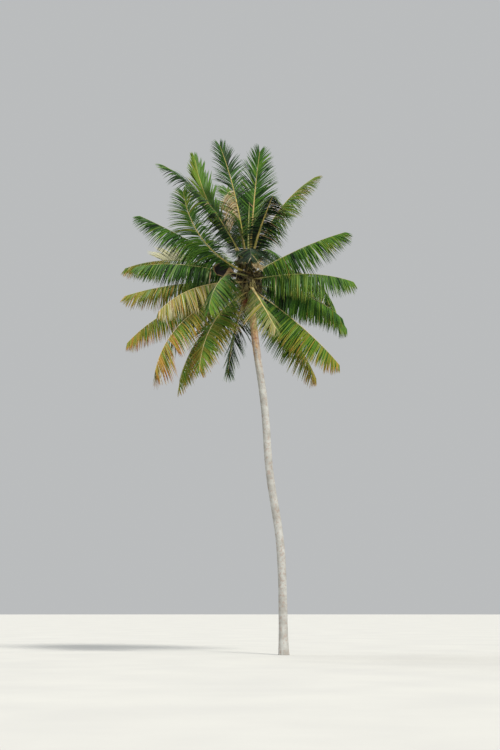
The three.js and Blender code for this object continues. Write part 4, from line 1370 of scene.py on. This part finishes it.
class PALM_OT_sheaths(bpy.types.Operator):
    """Woody sheaths: narrow ones that stand up out of the heart, and an open one with painted shade in its
    hollow
    """

    bl_idname = "palm.sheaths"
    bl_label = "Spray sheaths"

    def execute(self, context):
        finish = fibre_material("spathe", (204, 182, 138), (160, 128, 84), 0.75, (90.0, 90.0, 5.0))
        # A narrow sheath's section is an arc: the sine of a turn across it and its cosine deep, times the
        # width at each place along it.
        for node, (azimuth, rise, base, length, half) in SHEATHS.items():
            root, along, level, face = self.place(azimuth, rise, base, float(trunk_radius(base)) - half)
            s, c = grid(30, 15)
            wide = 1.6 * half * np.interp(s, *SHEATH_WIDTHS)
            bowed = c * SHEATH_BOW
            sheet = (root + along * (length * s)[..., None] + level * (wide * np.sin(bowed))[..., None]
                     - face * (0.55 * wide * (np.cos(bowed) - 0.4))[..., None])
            piece = make_piece(f"{node}_woody", finish, shell(sheet, SHEATH_THICKNESS), soft=True)
            dress(piece, "spray_sheath", node)
        # Painted shade: a near-black sheet inside the open sheath's hollow.
        hollow_shade = fibre_material("sheath_hollow_shade", (34, 27, 28), (17, 14, 16), 0.85, (60.0, 60.0, 6.0))
        for name, coating, share, depth in (
            ("open_sheath", finish, 1.0, 0.0),
            ("open_sheath_hollow_shade", hollow_shade, HOLLOW_SHADE_SHARE, HOLLOW_SHADE_DEPTH),
        ):
            dress(make_piece(name, coating, self.open_form(share, depth), soft=True), "spray_sheath")
        return {"FINISHED"}

    @staticmethod
    def place(azimuth, rise, base, out):
        """Where a sheath starts, the way it runs, and the level and the face across it."""
        level = aimed(azimuth + 90, 0)
        along = aimed(azimuth, rise)
        root = vectors(lean(base), 0.0, base) + aimed(azimuth, 0) * out
        return root, along, level, np.cross(level, along)

    def open_form(self, share, depth):
        """A stalk that widens into an open boat: at each place along it the section is an arc, whose hollow
        is turned to the front. The near-black sheet in the hollow, which is painted shade, has a share of the
        arc and lies deeper by its depth, short of the rim."""
        azimuth, rise, base, length, half, turn = OPEN_SHEATH
        root, along, level, face = self.place(azimuth, rise, base, float(trunk_radius(base)) * 0.8)
        level, face = turned(level, face, -math.radians(turn))
        s, c = grid(40, 21)
        wide = half * np.interp(s, *OPEN_SHEATH_WIDTHS)
        bowed = OPEN_SHEATH_BOW * c * share
        way = length * mix(0.02 * (1 - share), share * 0.3 + 0.7, s)
        return shell(root + along * way[..., None] + level * (wide * np.sin(bowed))[..., None]
                     + DOWN * (OPEN_SHEATH_SAG * s * s)[..., None]
                     - face * (0.75 * wide * np.cos(bowed) - depth)[..., None], OPEN_SHEATH_THICKNESS)


class PALM_PT_panel(bpy.types.Panel):
    """Lists the palm's settings and the operators that make its pieces"""

    bl_label = "Coconut palm"
    bl_space_type = "VIEW_3D"
    bl_region_type = "UI"
    bl_category = "Palm"

    def draw(self, context):
        for group, settings in SETTINGS.items():
            box = self.layout.box()
            for name in settings.__annotations__:
                box.prop(getattr(context.scene, group), name)
        for operator in OPERATORS:
            self.layout.operator(operator.bl_idname)


SETTINGS = {
    "palm_stage": PalmStageSettings,
    "palm_trunk": PalmTrunkSettings,
    "palm_leaf": PalmLeafSettings,
    "palm_heart": PalmHeartSettings,
    "palm_flower": PalmFlowerSettings,
}
OPERATORS = [PALM_OT_stage, PALM_OT_trunk, PALM_OT_stems, PALM_OT_leaflets, PALM_OT_heart, PALM_OT_spear,
             PALM_OT_flowers, PALM_OT_sheaths]


def register():
    for cls in (*SETTINGS.values(), *OPERATORS, PALM_PT_panel):
        bpy.utils.register_class(cls)
    for group, settings in SETTINGS.items():
        setattr(bpy.types.Scene, group, PointerProperty(type=settings))


def unregister():
    for group in SETTINGS:
        delattr(bpy.types.Scene, group)
    for cls in reversed((*SETTINGS.values(), *OPERATORS, PALM_PT_panel)):
        bpy.utils.unregister_class(cls)


def main():
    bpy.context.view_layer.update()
    register()
    bpy.ops.palm.stage()
    bpy.ops.palm.trunk()
    bpy.ops.palm.stems()
    bpy.ops.palm.leaflets()
    bpy.ops.palm.heart()
    bpy.ops.palm.spear()
    bpy.ops.palm.flowers()
    bpy.ops.palm.sheaths()


if __name__ == "__main__":
    main()
